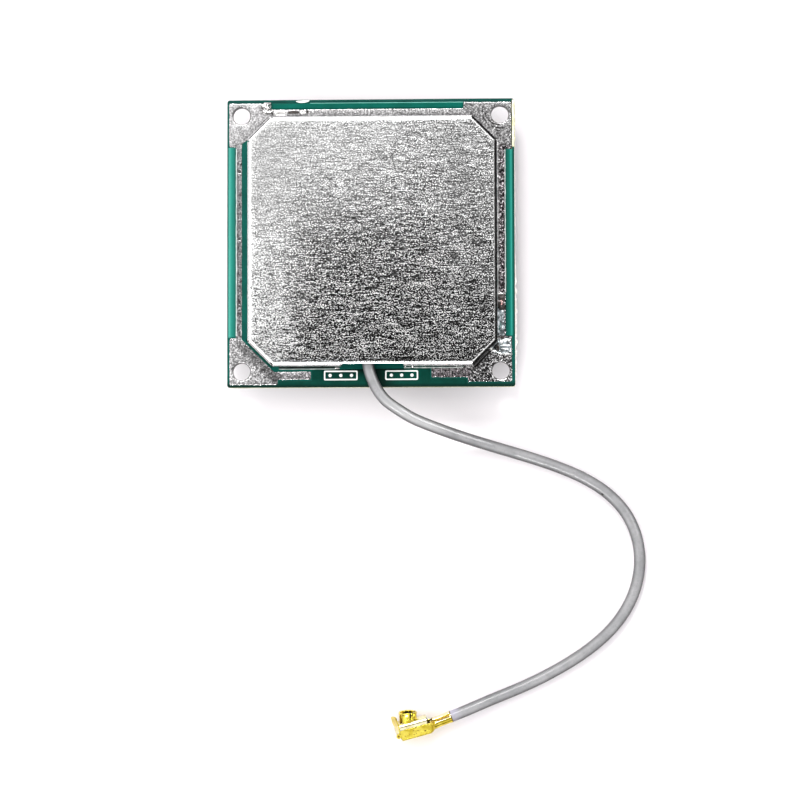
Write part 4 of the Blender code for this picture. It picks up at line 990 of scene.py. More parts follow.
def can_mesh():
    z_top = Z_CAN + CAN_H
    rings = [can_ring(0.02, Z_CAN), can_ring(0.0, Z_CAN + 0.03), can_ring(0.0, Z_CAN + 1.0)]
    for d, drop in bend_profile():
        rings.append(can_ring(d, z_top - drop))
    inner = [can_ring(0.18, Z_CAN), can_ring(0.2, Z_CAN + 0.03)]
    for k in range(6):
        a = 0.5 * math.pi * k / 5
        inner.append(can_ring(0.2 + 0.45 * (1 - math.cos(a)), z_top - 0.26 - 0.35 * (1 - math.sin(a))))
    bm = bmesh.new()
    out = [[bm.verts.new(p) for p in r] for r in rings]
    ins = [[bm.verts.new(p) for p in r] for r in inner]
    for rows in (out, ins):
        for low, high in zip(rows, rows[1:]):
            ring_faces(bm, low, high)
        bm.faces.new(rows[-1])
    n = len(out[0])
    for i in range(n):
        j = (i + 1) % n
        bm.faces.new((out[0][i], ins[0][i], ins[0][j], out[0][j]))
    return bm


can = finish("tinplate_can", can_mesh(), TINPLATE, 50)
notch_bm = loft([[(x, y, z) for x, y in rounded([(-3.55, -16.2), (4.0, -16.2), (4.0, -14.4), (-3.55, -14.4)], 0.0)]
                 for z in (Z_CAN - 0.5, Z_CAN + 1.85)])
# the notch takes the outer part of the fold with it
skirt_bm = loft([[(x, y, z) for x, y in rounded([(-3.55, -16.2), (4.0, -16.2), (4.0, -14.86), (-3.55, -14.86)], 0.0)]
                 for z in (Z_CAN - 0.5, Z_CAN + CAN_H - 0.11)])
# relief slits where the folded walls meet, two at each clipped corner
slit_parts = [skirt_bm]
hx, hy = CAN_X / 2, CAN_Y / 2
for sx in (-1, 1):
    for sy in (-1, 1):
        for cx, cy, ang in ((hx, hy - CAN_LEG, 22.5), (hx - CAN_LEG, hy, 67.5)):
            a = math.radians(ang)
            b = loft([[(x, y, z) for x, y in ((-0.30, -0.055), (0.4, -0.095), (0.4, 0.095), (-0.30, 0.055))]
                      for z in (Z_CAN + 0.35, Z_CAN + CAN_H + 0.3)])
            spot_at = Matrix.Translation((CAN_CX + sx * cx, CAN_CY + sy * cy, 0)) \
                @ Matrix.Rotation(math.atan2(sy * math.sin(a), sx * math.cos(a)), 4, "Z")
            bmesh.ops.transform(b, matrix=spot_at, verts=b.verts)
            slit_parts.append(b)
notch_low = finish("notch_low_tool", notch_bm, TINPLATE, 50, body=None)
m = can.modifiers.new("notch_low", "BOOLEAN")
m.operation = "DIFFERENCE"
m.solver = "EXACT"
m.object = notch_low
bake_modifiers(can)
bpy.data.objects.remove(notch_low, do_unlink=True)
notch = finish("notch_tool", join_bm(*slit_parts), TINPLATE, 50, body=None)
m = can.modifiers.new("notch", "BOOLEAN")
m.operation = "DIFFERENCE"
m.solver = "EXACT"
m.object = notch
bake_modifiers(can)
bpy.data.objects.remove(notch, do_unlink=True)
can.data.shade_smooth()
can.data.set_sharp_from_angle(angle=math.radians(50))
m = can.modifiers.new("even_normals", "WEIGHTED_NORMAL")
m.weight = 80
m.keep_sharp = True
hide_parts("shield_can")


# =============================================================== solder
def blob(name, cx, cy, ax, ay, h, turn, mat, seed, lump=0.18, wave=0.25, freq=1.6, node=None, power=0.62,
         rings=14, n=56, z0=Z_TOP + 0.02, stretch=(1.0, 1.0)):
    """Mound of solder with an uneven outline and surface."""
    t = math.radians(turn)
    bm = bmesh.new()
    rows = []
    for k in range(rings + 1):
        f = 1.0 - k / rings
        row = []
        for i in range(n):
            w = 2 * math.pi * i / n
            edge = 1.0 + lump * noise.noise(Vector((1.5 * math.cos(w), 1.5 * math.sin(w), seed))) \
                + 0.5 * lump * noise.noise(Vector((3.2 * math.cos(w), 3.2 * math.sin(w), seed + 3.0)))
            x, y = ax * f * edge * math.cos(w), ay * f * edge * math.sin(w)
            gx, gy = cx + x * math.cos(t) - y * math.sin(t), cy + x * math.sin(t) + y * math.cos(t)
            z = h * max(0.0, 1.0 - f * f) ** power
            z *= 1.0 + wave * noise.noise(Vector((gx * freq * stretch[0], gy * freq * stretch[1], seed + 7.0))) \
                + 0.4 * wave * noise.noise(Vector((gx * freq * 2.6 * stretch[0], gy * freq * 2.6 * stretch[1],
                                                   seed + 11.0)))
            row.append(bm.verts.new((gx, gy, z0 + max(z, 0.0))))
            if k == rings:
                break
        rows.append(row)
    for low, high in zip(rows[:-2], rows[1:-1]):
        ring_faces(bm, low, high)
    tip = rows[-1][0]
    last = rows[-2]
    for i in range(n):
        bm.faces.new((last[i], last[(i + 1) % n], tip))
    bm.faces.new(rows[0][::-1])
    ob = finish(name, bm, mat, 80)
    if node:
        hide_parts(node)
    return ob


def pool(name, outline, h, mat, seed, wave=0.25, freq=1.6, node=None, power=0.6, rings=16, ridge=0.0, ridge_n=1.5,
         ridge_slope=0.15, centre=None, z0=Z_TOP + 0.02, rough_edge=0.06):
    """Solder that has run out to a given outline, with ridges across it."""
    pts = outline if area_of(outline) > 0 else outline[::-1]
    pts = roughen(rounded(pts, 0.12, 3), rough_edge, seed, 0.12)
    cx, cy = centre or (sum(q[0] for q in pts) / len(pts), sum(q[1] for q in pts) / len(pts))
    bm = bmesh.new()
    rows = []
    for k in range(rings):
        f = 1.0 - k / rings
        row = []
        for x, y in pts:
            gx, gy = cx + (x - cx) * f, cy + (y - cy) * f
            z = h * max(0.0, 1.0 - f ** 3) ** power
            n1 = noise.noise(Vector((gx * freq, gy * freq, seed + 7.0)))
            n2 = noise.noise(Vector((gx * freq * 2.6, gy * freq * 2.6, seed + 11.0)))
            z *= 1.0 + wave * n1 + 0.4 * wave * n2 \
                + ridge * math.sin(2 * math.pi * (ridge_n * (gy + ridge_slope * gx) + 0.6 * n1) + seed)
            row.append(bm.verts.new((gx, gy, z0 + max(z, 0.0))))
        rows.append(row)
    for low, high in zip(rows, rows[1:]):
        ring_faces(bm, low, high)
    tip = bm.verts.new((cx, cy, sum(v.co.z for v in rows[-1]) / len(rows[-1])))
    n = len(pts)
    for i in range(n):
        bm.faces.new((rows[-1][i], rows[-1][(i + 1) % n], tip))
    bm.faces.new(rows[0][::-1])
    ob = finish(name, bm, mat, 80)
    if node:
        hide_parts(node)
    return ob


# top left tack: a squarish lump with painted dark reflections in its folds
pool("solder_tack_top_left", [(-13.45, 16.95), (-13.30, 16.10), (-12.75, 15.82), (-12.10, 15.85), (-12.00, 16.60),
                              (-12.15, 17.32), (-12.95, 17.36)], 0.46, SOLDER, 1.3, wave=0.55, freq=2.2,
     node="solder_top_left", ridge=0.18, ridge_n=1.3)
pool("dark_reflection_fold_one", [(-13.42, 16.88), (-13.25, 16.40), (-13.05, 16.42), (-12.98, 16.82), (-13.18, 16.98)], 0.40, FLUX_AND_SHADE,
     2.1, wave=0.5, freq=3.0, rings=8)
pool("dark_reflection_fold_two", [(-12.14, 16.05), (-12.02, 15.78), (-11.86, 15.78), (-11.92, 16.15)], 0.42, FLUX_AND_SHADE, 2.6, wave=0.4,
     rings=8)
# top edge tack, with the gap beside it, its dark strip a painted shadow
pool("solder_tack_top", [(-8.72, 16.36), (-8.70, 15.86), (-7.80, 15.86), (-7.76, 16.46)], 0.26, SOLDER, 4.1, wave=0.3,
     freq=1.6, node="solder_top_edge")
pool("solder_run_top", [(-11.85, 16.36), (-11.75, 15.70), (-10.2, 15.66), (-10.1, 16.34)], 0.09, SOLDER, 5.2, wave=0.5,
     freq=1.2)
pool("shadow_gap_top", [(-10.12, 16.12), (-10.05, 15.88), (-8.72, 15.90), (-8.70, 16.18), (-9.3, 16.30)], 0.12, FLUX_AND_SHADE, 15.0,
     wave=0.3, rings=8)
pool("flux_dot_top", [(-7.76, 16.36), (-7.76, 15.90), (-7.52, 15.90), (-7.52, 16.36)], 0.14, FLUX_AND_SHADE, 16.0, rings=8)


# right side tack: a concave fillet climbing the can's wall
def fillet_right():
    rows = []
    count = 34
    for i in range(count + 1):
        u = i / count
        y = -7.98 + (-11.44 + 7.98) * u
        end = math.sin(math.pi * min(1.0, max(0.0, 0.04 + 0.92 * u))) ** 0.45
        foot = 16.27 + 0.05 * noise.noise(Vector((y * 1.3, 3.0, 0.0))) - 0.22 * (1.0 - end)
        top = 0.78 * end * (1.0 + 0.20 * noise.noise(Vector((y * 0.9, 6.0, 0.0))))
        ring = [(15.36, y, Z_TOP + 0.02)]
        for k in range(9):
            q = k / 8
            x = 15.36 + (foot - 15.36) * q
            z = top * (1.0 - q) ** 1.9 + 0.055 * (1.0 - q ** 4)
            z += 0.05 * end * math.sin(2.2 * math.pi * q + 1.4 * noise.noise(Vector((y * 0.7, 1.0, 5.0))))
            ring.append((x, y, Z_TOP + 0.03 + max(z, 0.0)))
        ring.append((foot, y, Z_TOP + 0.02))
        rows.append(ring)
    return loft(rows)


ob = finish("solder_fillet_right", fillet_right(), SOLDER_SHADED, 80)
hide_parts("solder_right_side")
pool("flux_burn_upper", [(15.48, -6.42), (16.28, -6.40), (16.30, -7.15), (15.98, -7.28), (15.50, -7.05)], 0.16, FLUX_AND_SHADE, 18.0,
     wave=0.6, freq=2.0, rings=8)
pool("solder_bead_upper", [(15.62, -6.95), (16.15, -7.10), (16.05, -7.80), (15.72, -7.75)], 0.30, SOLDER_ROSE, 18.6,
     wave=0.4, freq=2.0, rings=8)
pool("flux_burn_middle", [(15.46, -7.30), (15.66, -7.40), (15.80, -7.90), (16.30, -7.65), (16.31, -8.30), (15.95, -8.35),
                          (15.55, -8.35)], 0.34, FLUX_AND_SHADE, 19.0, wave=0.5, freq=2.0, rings=8)
pool("solder_rim_upper", [(15.47, -6.20), (16.30, -6.18), (16.30, -6.38), (15.47, -6.40)], 0.12, SOLDER, 20.0, rings=6)
pool("flux_spot_lower", [(15.72, -11.42), (16.18, -11.40), (16.20, -11.85), (15.80, -11.88)], 0.26, FLUX_AND_SHADE, 21.0, rings=8)
# bottom right tack: runs across the corner pad in bands
pool("solder_tack_bottom_right", [(14.72, -12.92), (15.10, -12.35), (15.48, -11.85), (16.30, -11.62), (17.06, -11.60),
                                  (17.07, -13.75), (16.30, -13.80), (15.55, -13.62), (14.75, -13.42)], 0.22, SOLDER_SHADED,
     9.2, wave=0.30, freq=1.3, node="solder_bottom_right")
for k, (x, y, ax, ay, h, turn_) in enumerate(((16.35, -12.60, 0.78, 0.15, 0.40, -4.0), (16.42, -13.05, 0.72, 0.12, 0.40, -3.0),
                                              (16.45, -13.62, 0.70, 0.15, 0.34, -6.0), (14.98, -13.22, 0.42, 0.19, 0.34, -14.0),
                                              (15.84, -12.12, 0.28, 0.32, 0.42, 20.0), (16.74, -11.95, 0.34, 0.28, 0.26, 0.0))):
    blob("solder_band_%d" % (k + 1), x, y, ax, ay, h, turn_, SOLDER_LIT if k != 5 else SOLDER, 31.0 + k, lump=0.3,
         wave=0.25, freq=2.0, rings=10, n=36)
pool("flux_squiggle", [(14.98, -12.72), (15.30, -12.48), (15.62, -12.62), (15.66, -13.10), (15.50, -13.34), (15.20, -13.22),
                       (15.26, -12.98)], 0.44, FLUX_AND_SHADE, 22.0, wave=0.5, freq=2.5, rings=8)
for k, (x, y, ax, ay) in enumerate(((-4.10, -15.28, 0.34, 0.15), (5.05, -15.18, 0.20, 0.16), (4.15, -15.05, 0.14, 0.20))):
    blob("solder_bead_notch_%d" % (k + 1), x, y, ax, ay, 0.20, 0, SOLDER, 12.0 + k)


# painted shadow: black discs at the relief slits of the can's lower left corner
blob("corner_slit_shadow_left", -14.99, -11.80, 0.17, 0.19, 0.25, 0, SHADOW_GAP, 41.0, z0=Z_TOP + 0.02, rings=6, n=24)
blob("corner_slit_shadow_bottom", -11.95, -14.80, 0.15, 0.13, 0.07, 0, SHADOW_GAP, 42.0, z0=Z_CAN + CAN_H - 0.10, rings=6, n=24)

# thin bright wick line, its brightness a painted highlight, and the painted shadow line outside it, along the right of
# the can
def outside_strip(name, pts, d0, d1, z_in, z_out, mat, z0=Z_TOP + 0.01):
    rows = []
    n = len(pts)
    for i in range(n):
        q = Vector(pts[i])
        d = (Vector(pts[min(i + 1, n - 1)]) - Vector(pts[max(i - 1, 0)])).normalized()
        out = Vector((d.y, -d.x))
        a_, b_ = q + out * d0, q + out * d1
        rows.append([(a_.x, a_.y, z0), (b_.x, b_.y, z0), (b_.x, b_.y, z_out), (a_.x, a_.y, z_in)])
    return finish(name, loft(rows), mat, 50)


hx, hy = CAN_X / 2, CAN_Y / 2
right_side = [(CAN_CX + hx - CAN_LEG, CAN_CY - hy), (CAN_CX + hx, CAN_CY - hy + CAN_LEG), (CAN_CX + hx, CAN_CY + hy - CAN_LEG),
              (CAN_CX + hx - CAN_LEG, CAN_CY + hy)]
path = []
for (x0, y0), (x1, y1) in zip(right_side, right_side[1:]):
    count = max(2, int(math.hypot(x1 - x0, y1 - y0) / 0.4))
    path += [(x0 + (x1 - x0) * k / count, y0 + (y1 - y0) * k / count) for k in range(count)]
path.append(right_side[-1])
outside_strip("wick_line_right", path, -0.02, 0.09, Z_TOP + 0.20, Z_TOP + 0.07, SOLDER_LIT)
low_path = [q for q in path if q[1] < CAN_CY - hy + CAN_LEG + 0.05]
outside_strip("shadow_line_lower_right", low_path, 0.08, 0.26, Z_TOP + 0.055, Z_TOP + 0.05, SHADOW_GAP)
short_leg = CAN_LEG - 0.30
left_path = [(CAN_CX - hx + short_leg * k / 10, CAN_CY + hy - short_leg + short_leg * k / 10) for k in range(11)][::-1]
outside_strip("shadow_line_upper_left", left_path, 0.02, 0.22, Z_TOP + 0.055, Z_TOP + 0.05, SHADOW_GAP)
outside_strip("shadow_line_upper_left_end", left_path[:5], 0.20, 0.40, Z_TOP + 0.055, Z_TOP + 0.05, SHADOW_GAP)
lower_left = [(CAN_CX - hx + CAN_LEG * k / 10, CAN_CY - hy + CAN_LEG - CAN_LEG * k / 10) for k in range(11)]
outside_strip("shade_line_lower_left", lower_left, 0.02, 0.20, Z_TOP + 0.045, Z_TOP + 0.04, MASK_BARE)

# =============================================================== the plug
GOLD_PARTS = []


def in_plug(bm):
    bmesh.ops.transform(bm, matrix=PLUG, verts=bm.verts)
    return bm


S = 0.15
W = 1.35


def strip_outline(path, thick, rounds=6):
    """Outline of a bent strip from its centre line, which is smoothed first."""
    pts = [Vector(p) for p in path]
    smooth = []
    for i in range(len(pts) - 1):
        p0, p1, p2, p3 = pts[max(i - 1, 0)], pts[i], pts[i + 1], pts[min(i + 2, len(pts) - 1)]
        for k in range(rounds):
            t = k / rounds
            smooth.append(0.5 * ((2 * p1) + (p2 - p0) * t + (2 * p0 - 5 * p1 + 4 * p2 - p3) * t * t
                                 + (3 * p1 - p0 - 3 * p2 + p3) * t ** 3))
    smooth.append(pts[-1])
    left, right = [], []
    for i, p in enumerate(smooth):
        d = (smooth[min(i + 1, len(smooth) - 1)] - smooth[max(i - 1, 0)]).normalized()
        nrm = Vector((-d.y, d.x))
        left.append(p + nrm * thick / 2)
        right.append(p - nrm * thick / 2)
    return [(q.x, q.y) for q in left + right[::-1]]


def bent_strip(path, thick, widths):
    """Bent strip in the x-y plane; widths are (z low, z high)."""
    outline = strip_outline(path, thick)
    return loft([[(x, y, z) for x, y in outline] for z in widths])


def channel(half, bottom, top, sheet, bend):
    """U section in the z-y plane: outer skin down and across, then back inside."""
    def skin(h, b, r, t):
        return [(-h, t)] + [(z, y) for z, y in arc(-h + r, b + r, r, 180, 270, 5)] \
            + [(z, y) for z, y in arc(h - r, b + r, r, 270, 360, 5)] + [(h, t)]
    outer = skin(half, bottom, bend, top)
    inner = skin(half - sheet, bottom + sheet, max(bend - sheet, 0.04), top)
    return outer + inner[::-1]


def channel_loft(sections):
    return loft([[(x, y, z) for z, y in channel(*sec)] for x, sec in sections])


# folded cover with side walls, narrowing to the neck of the crimp
cover = channel_loft([
    (0.0, (W, -1.30, -0.02, S, 0.26)), (0.12, (W, -1.30, 0.02, S, 0.26)), (1.9, (W, -1.30, 0.02, S, 0.26)),
    (3.45, (W, -1.30, 0.02, S, 0.26)), (3.70, (W, -1.26, 0.00, S, 0.27)), (3.90, (W - 0.03, -1.16, -0.02, S, 0.30)),
    (4.02, (W - 0.16, -1.08, -0.05, S, 0.34)), (4.14, (1.00, -1.04, -0.06, S, 0.38)), (4.24, (0.84, -1.02, -0.04, S, 0.40)),
    (4.45, (0.78, -1.00, 0.02, S, 0.42))])
# saddle in the neck, between the cover's walls
saddle_rows = []
for x, half, top in ((3.44, 1.10, -0.30), (3.62, 1.10, -0.06), (3.86, 1.04, 0.02), (4.06, 0.84, 0.04), (4.22, 0.66, 0.02),
                     (4.44, 0.58, -0.10)):
    saddle_rows.append([(x, y, z) for z, y in
                        [(-half, -0.95), (half, -0.95), (half, top - 0.28), (0.55 * half, top - 0.05), (0.0, top),
                         (-0.55 * half, top - 0.05), (-half, top - 0.28)]])
saddle = loft(saddle_rows)
# flange that carries the socket, folded down inside the cover's walls
inner_w = W - S - 0.02
flange = loft([[(x, -y + 0.0, z) for z, y in channel(inner_w, -0.80, 0.42, S, 0.50)] for x in (0.06, 0.12, 3.40, 3.46)])
strap_outline = strip_outline([(0.34, -1.225), (0.06, -1.22), (-0.16, -1.10), (-0.28, -0.80), (-0.31, -0.40), (-0.30, 0.05),
                               (-0.24, 0.42), (-0.10, 0.63), (0.10, 0.72), (0.35, 0.725)], S)
# the strap lies askew: its far edge reaches further out than the near one
strap = loft([[(x + lean * ease(min(max((0.30 - x) / 0.45, 0.0), 1.0)), y, z) for x, y in strap_outline]
              for z, lean in ((-1.20, -0.27), (-1.08, -0.26), (-0.4, -0.10), (0.4, 0.08), (1.02, 0.21), (1.14, 0.22))])
tongue_outline = strip_outline([(-0.20, 0.25), (-0.30, 0.62), (-0.36, 1.15), (-0.36, 1.72)], S)
tongue_rows = []
for z, f in ((-0.74, 0.74), (-0.66, 0.90), (-0.40, 0.98), (0.0, 1.0), (0.40, 0.98), (0.66, 0.90), (0.74, 0.74)):
    tongue_rows.append([(x + 0.40 * z, 0.25 + (y - 0.25) * f, z) for x, y in tongue_outline])
tongue = loft(tongue_rows)
# socket: a ring at the foot and three springy petals
SOCKET_X, SOCKET_R, SOCKET_H = 1.25, 1.075, 1.07
LEAN = Matrix.Translation((SOCKET_X, 0.80, 0)) @ Matrix.Rotation(math.radians(-13.0), 4, "Z")
STAND = Matrix.Rotation(math.radians(-90), 4, "X")


def stand_up(bm):
    bmesh.ops.transform(bm, matrix=LEAN @ STAND, verts=bm.verts)
    return bm


foot = stand_up(turned([(SOCKET_R - S, -0.28), (SOCKET_R, -0.28), (SOCKET_R, 0.02), (SOCKET_R, 0.26),
                        (SOCKET_R - S, 0.26)], 64, closed=True))
petals = []
for k in range(3):
    mid = -90 + 16 + 120 * k
    a0, a1 = mid + 4.6, mid + 115.4
    prof = [(SOCKET_R - S, 0.24), (SOCKET_R, 0.24), (SOCKET_R + 0.005, 0.60), (SOCKET_R + 0.012, SOCKET_H - 0.30),
            (SOCKET_R + 0.045, SOCKET_H - 0.20), (SOCKET_R + 0.055, SOCKET_H - 0.13), (SOCKET_R + 0.035, SOCKET_H - 0.05),
            (SOCKET_R - 0.02, SOCKET_H), (SOCKET_R - 0.09, SOCKET_H - 0.01), (SOCKET_R - S - 0.01, SOCKET_H - 0.08),
            (SOCKET_R - S + 0.02, SOCKET_H - 0.25)]
    rows = []
    for i in range(25):
        a = math.radians(a0 + (a1 - a0) * i / 24)
        rows.append([(r * math.cos(a), r * math.sin(a), h) for r, h in prof])
    petals.append(stand_up(loft(rows)))


def barrel_ring(d, scale=1.0, inner=False):
    """Crimp section: round, with two rolled lips that meet in a seam."""
    pts = []
    n = 96
    for i in range(n):
        a = 2 * math.pi * i / n
        off = (a - math.radians(62) + math.pi) % (2 * math.pi) - math.pi
        r = 0.705 * scale
        r += 0.10 * math.exp(-((abs(off) - 0.34) / 0.20) ** 2) - 0.30 * math.exp(-(off / 0.15) ** 2)
        if inner:
            r = 0.56
        pts.append((d, r * math.cos(a), r * math.sin(a)))
    return pts


barrel_rows = [barrel_ring(0.0, 0.97), barrel_ring(0.05, 1.02), barrel_ring(0.22, 1.03), barrel_ring(0.42, 0.985),
               barrel_ring(0.9, 0.965), barrel_ring(1.5, 0.965), barrel_ring(1.9, 0.985), barrel_ring(2.12, 1.03),
               barrel_ring(2.26, 1.02), barrel_ring(2.30, 0.97), barrel_ring(2.29, 1.0, True),
               barrel_ring(0.02, 1.0, True)]
barrel = loft(barrel_rows, closed=True)
bmesh.ops.transform(barrel, matrix=BEND, verts=barrel.verts)

shell = finish("plug_gold_shell", in_plug(join_bm(cover, saddle, strap, tongue, foot, *petals)), GOLD, 38)
edge_bevel(shell, 0.022, 2, 50)
crimp = finish("plug_gold_crimp", in_plug(barrel), GOLD_CRIMP, 38)
edge_bevel(crimp, 0.022, 2, 50)
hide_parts("plug_shell")
flange_piece = finish("plug_gold_flange", in_plug(flange), GOLD_LIT, 38)
edge_bevel(flange_piece, 0.022, 2, 50)
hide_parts("plug_shell")
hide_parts("plug_shell")

# pressed marks on the cover's visible wall
marks = []
for x, y, rx, ry in ((2.97, -0.73, 0.13, 0.07), (2.16, -0.47, 0.16, 0.04), (1.62, -0.34, 0.10, 0.04), (3.50, -0.69, 0.05, 0.05),
                     (0.47, -0.74, 0.10, 0.035), (1.02, -0.69, 0.09, 0.035), (1.55, -0.83, 0.12, 0.035),
                     (1.88, -0.75, 0.06, 0.05), (1.89, -0.06, 0.16, 0.055)):
    b = turned([(1.0, 0.0), (0.75, 0.006), (0.3, 0.010)], 20)
    bmesh.ops.scale(b, vec=(rx, ry, 1.0), verts=b.verts)
    bmesh.ops.translate(b, vec=(x, y, W), verts=b.verts)
    marks.append(b)
# painted shadow: dark line where the crimp ends on the jacket
line = loft([[(x, r * math.cos(2 * math.pi * i / 48), r * math.sin(2 * math.pi * i / 48)) for i in range(48)]
             for x, r in ((2.275, 0.60), (2.275, 0.735), (2.36, 0.735), (2.36, 0.60))], closed=True)
bmesh.ops.transform(line, matrix=BEND, verts=line.verts)
marks.append(line)
# painted shade along the seam's groove
seam = []
for x in (0.10, 0.8, 1.6, 2.22):
    seam.append([(x, r * math.cos(math.radians(a)), r * math.sin(math.radians(a)))
                 for a, r in ((56.5, 0.46), (56.5, 0.645), (67.5, 0.645), (67.5, 0.46))])
seam = loft(seam)
bmesh.ops.transform(seam, matrix=BEND, verts=seam.verts)
marks.append(seam)
collar = loft([[(x, r * math.cos(2 * math.pi * i / 48), r * math.sin(2 * math.pi * i / 48)) for i in range(48)]
               for x, r in ((-0.10, 0.56), (-0.10, 0.73), (0.015, 0.73), (0.015, 0.56))], closed=True)
bmesh.ops.transform(collar, matrix=BEND, verts=collar.verts)
marks.append(collar)
# curl at the strap's foot
curl = turned([(0.13, -0.22), (0.27, -0.22), (0.30, -0.16), (0.30, 0.22), (0.13, 0.22)], 28, closed=True)
bmesh.ops.translate(curl, vec=(-0.30, -0.56, 1.18), verts=curl.verts)
core_ = turned([(0.135, -0.20), (0.135, 0.16)], 20)
bmesh.ops.translate(core_, vec=(-0.30, -0.56, 1.18), verts=core_.verts)
marks.append(core_)
curl_piece = finish("plug_strap_curl", in_plug(curl), GOLD, 38)
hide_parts("plug_shell")
marks_and_shade_piece = finish("plug_marks_and_painted_shade", in_plug(join_bm(*marks)), TARNISH_AND_SHADE, 60)

# =============================================================== other CAD pieces
NODES["pcb"].data.materials.clear()
NODES["pcb"].data.materials.append(LAMINATE)


def dress(node, mat, bevel=None, smooth=None):
    ob = NODES[node]
    ob.data.materials.clear()
    ob.data.materials.append(mat)
    if bevel:
        m = ob.modifiers.new("edges", "BEVEL")
        m.width = bevel * MM
        m.segments = 2
        m.limit_method = "ANGLE"
        m.angle_limit = math.radians(50)
    return ob


dress("patch_ceramic", CERAMIC, 0.06)
dress("patch_electrode", SILVER)
dress("patch_ground_electrode", SILVER)
dress("adhesive_pad", TAPE)
dress("feed_pin", PIN)
dress("feed_pin_solder", SOLDER)
dress("first_amplifier", MOULDING)
dress("second_amplifier", MOULDING)
dress("saw_filter", FILTER)
dress("plug_insulator", INSULATOR)
dress("plug_contact", GOLD)
dress("coax_braid", BRAID)
dress("coax_braid_plug_end", BRAID)
dress("coax_dielectric", DIELECTRIC)
dress("coax_core", CORE)
dress("braid_solder", SOLDER)
dress("core_solder", SOLDER)
for node, body, length, axis in (
        ("input_coupling_capacitor", (0.36, 0.24, 0.15), 1.0, 1), ("input_match_inductor", (0.10, 0.17, 0.28), 1.0, 0),
        ("output_coupling_capacitor", (0.36, 0.24, 0.15), 1.0, 1), ("bias_choke", (0.10, 0.17, 0.28), 1.6, 0),
        ("supply_bypass_capacitor", (0.36, 0.24, 0.15), 1.6, 1), ("supply_resistor", (0.03, 0.03, 0.035), 1.0, 1),
        ("first_bias_resistor", (0.03, 0.03, 0.035), 1.0, 1), ("second_bias_resistor", (0.03, 0.03, 0.035), 1.0, 1),
        ("first_bias_capacitor", (0.36, 0.24, 0.15), 1.0, 1)):
    low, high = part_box(node)
    centre = 500.0 * (low[axis] + high[axis])
    end = 0.3 if length > 1.2 else 0.22
    dress(node, chip_material(node + "_finish", body, length / 2 - end, axis, centre))

# =============================================================== floor and light
floor_bm = bmesh.new()
for x, y in ((-3, -3), (3, -3), (3, 3), (-3, 3)):
    floor_bm.verts.new((x / MM, y / MM, -0.03))
floor_bm.faces.new(floor_bm.verts[:])
paper = Shader("floor_paper", (0.78, 0.745, 0.76), 0.85, 0.0, Specular_IOR_Level=0.15)
paper_color = paper.mix(paper.span(paper.noise(paper.object_mm((0.02, 0.02, 0.02)), 1.0, 2.0), 0.3, 0.7),
                        (0.775, 0.742, 0.758), (0.785, 0.754, 0.770))
floor = finish("floor", floor_bm, paper.use(Base_Color=paper_color), 60, body=None)

world = bpy.data.worlds.new("studio")
world.use_nodes = True
world.node_tree.nodes["Background"].inputs[0].default_value = (0.97, 0.97, 1.0, 1.0)
# the surroundings are dimmer in reflections than as fill light
kind_of_ray = world.node_tree.nodes.new("ShaderNodeLightPath")
dimmer = world.node_tree.nodes.new("ShaderNodeMapRange")
dimmer.inputs["To Min"].default_value, dimmer.inputs["To Max"].default_value = 0.42, 0.15
world.node_tree.links.new(kind_of_ray.outputs["Is Glossy Ray"], dimmer.inputs["Value"])
world.node_tree.links.new(dimmer.outputs["Result"], world.node_tree.nodes["Background"].inputs[1])
bpy.context.scene.world = world


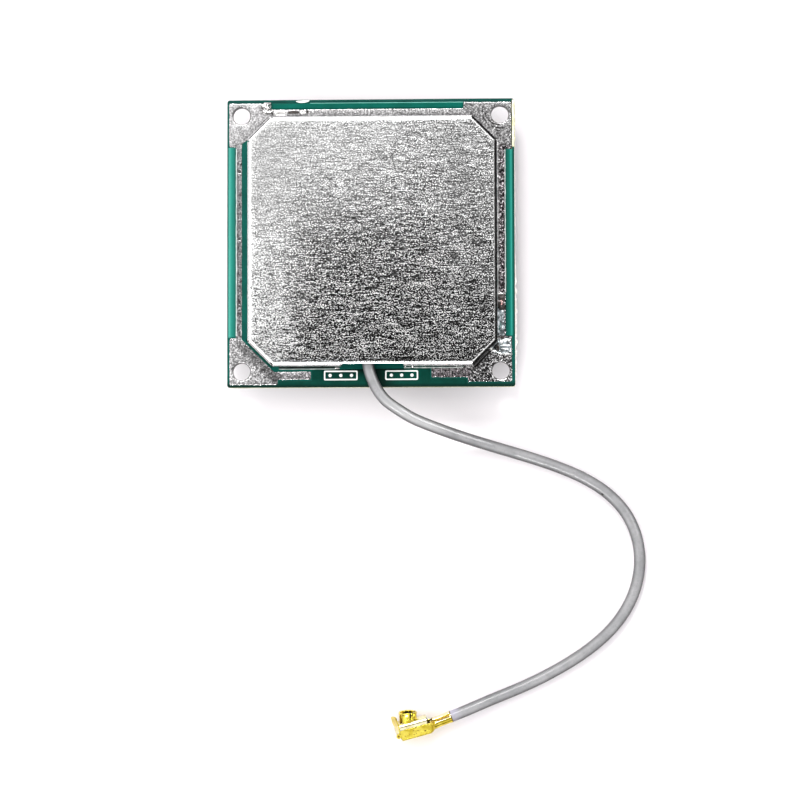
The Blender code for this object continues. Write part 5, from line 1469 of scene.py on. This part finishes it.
def softbox(name, at, target, width, height, radiance, color=(1, 1, 1), spin=0.0, glossy=True, diffuse=True):
    """Rectangular soft light; radiance is what a mirror would show of it."""
    data = bpy.data.lights.new(name, "AREA")
    data.shape = "RECTANGLE"
    data.size, data.size_y = width, height
    data.energy = radiance * math.pi * width * height
    data.color = color
    ob = bpy.data.objects.new(name, data)
    ob.location = at
    ob.rotation_mode = "QUATERNION"
    aim = (Vector(target) - Vector(at)).to_track_quat("-Z", "Y")
    ob.rotation_quaternion = aim @ Matrix.Rotation(math.radians(spin), 4, "Z").to_quaternion()
    ob.visible_glossy = glossy
    ob.visible_diffuse = diffuse
    bpy.context.scene.collection.objects.link(ob)
    return ob


# key: a level sheet overhead whose edge is mirrored across the middle of the can
edge_at = Vector((-0.045, 0.086, 0.9))
uphill = Vector((-0.42, 0.90, 0.0)).normalized()
key_at = edge_at + uphill * 0.45
softbox("key_overhead", key_at, key_at - Vector((0, 0, 1)), 1.3, 0.90, 1.45,
        spin=math.degrees(math.atan2(uphill.y, uphill.x)) - 90.0)
softbox("left_sheet", (-0.78, -0.02, 0.62), (0.0, 0.0, 0.0), 1.3, 0.95, 1.25)
softbox("back_wall", (-0.05, 1.25, 0.45), (0.0, 0.0, 0.0), 1.3, 0.75, 1.15)
softbox("front_sheet", (-0.10, -0.68, 0.80), (0.0, 0.0, 0.0), 1.4, 1.25, 1.02)
softbox("front_fill", (0.05, -0.90, 0.60), (0.0, 0.0, 0.0), 1.2, 1.0, 1.20, glossy=False)
softbox("right_overhead", (0.30, 0.02, 0.90), (0.10, 0.0, 0.0), 0.42, 0.40, 0.85)
softbox("right_fill", (1.10, -0.10, 0.70), (0.0, 0.0, 0.0), 1.2, 1.2, 0.9)
softbox("left_key", (-0.95, -0.17, 0.66), (0.0, 0.0, 0.0), 0.30, 0.30, 3.5, glossy=False)
softbox("back_key", (-0.12, 0.76, 0.95), (0.0, -0.02, 0.0), 0.24, 0.24, 36.0, glossy=False)
# long narrow lights that only the glossy skins show, as streaks
softbox("back_streak", (-0.08, 0.66, 0.95), (0.0, -0.02, 0.0), 0.58, 0.20, 34.0, diffuse=False)
streak_at, streak_way = Vector((0.833, 0.430, 0.749)), Vector((0.010, 0.365, -0.219))
streak_aim = (-streak_at).to_track_quat("-Z", "Y").to_matrix()
softbox("right_streak", streak_at, (0.0, 0.0, 0.0), 0.58, 0.20, 20.0, diffuse=False,
        spin=math.degrees(math.atan2(streak_way.dot(streak_aim.col[1]), streak_way.dot(streak_aim.col[0]))))
softbox("front_streak", (-0.24, -0.72, 0.80), (0.0, -0.02, 0.0), 0.60, 0.12, 44.0, diffuse=False)
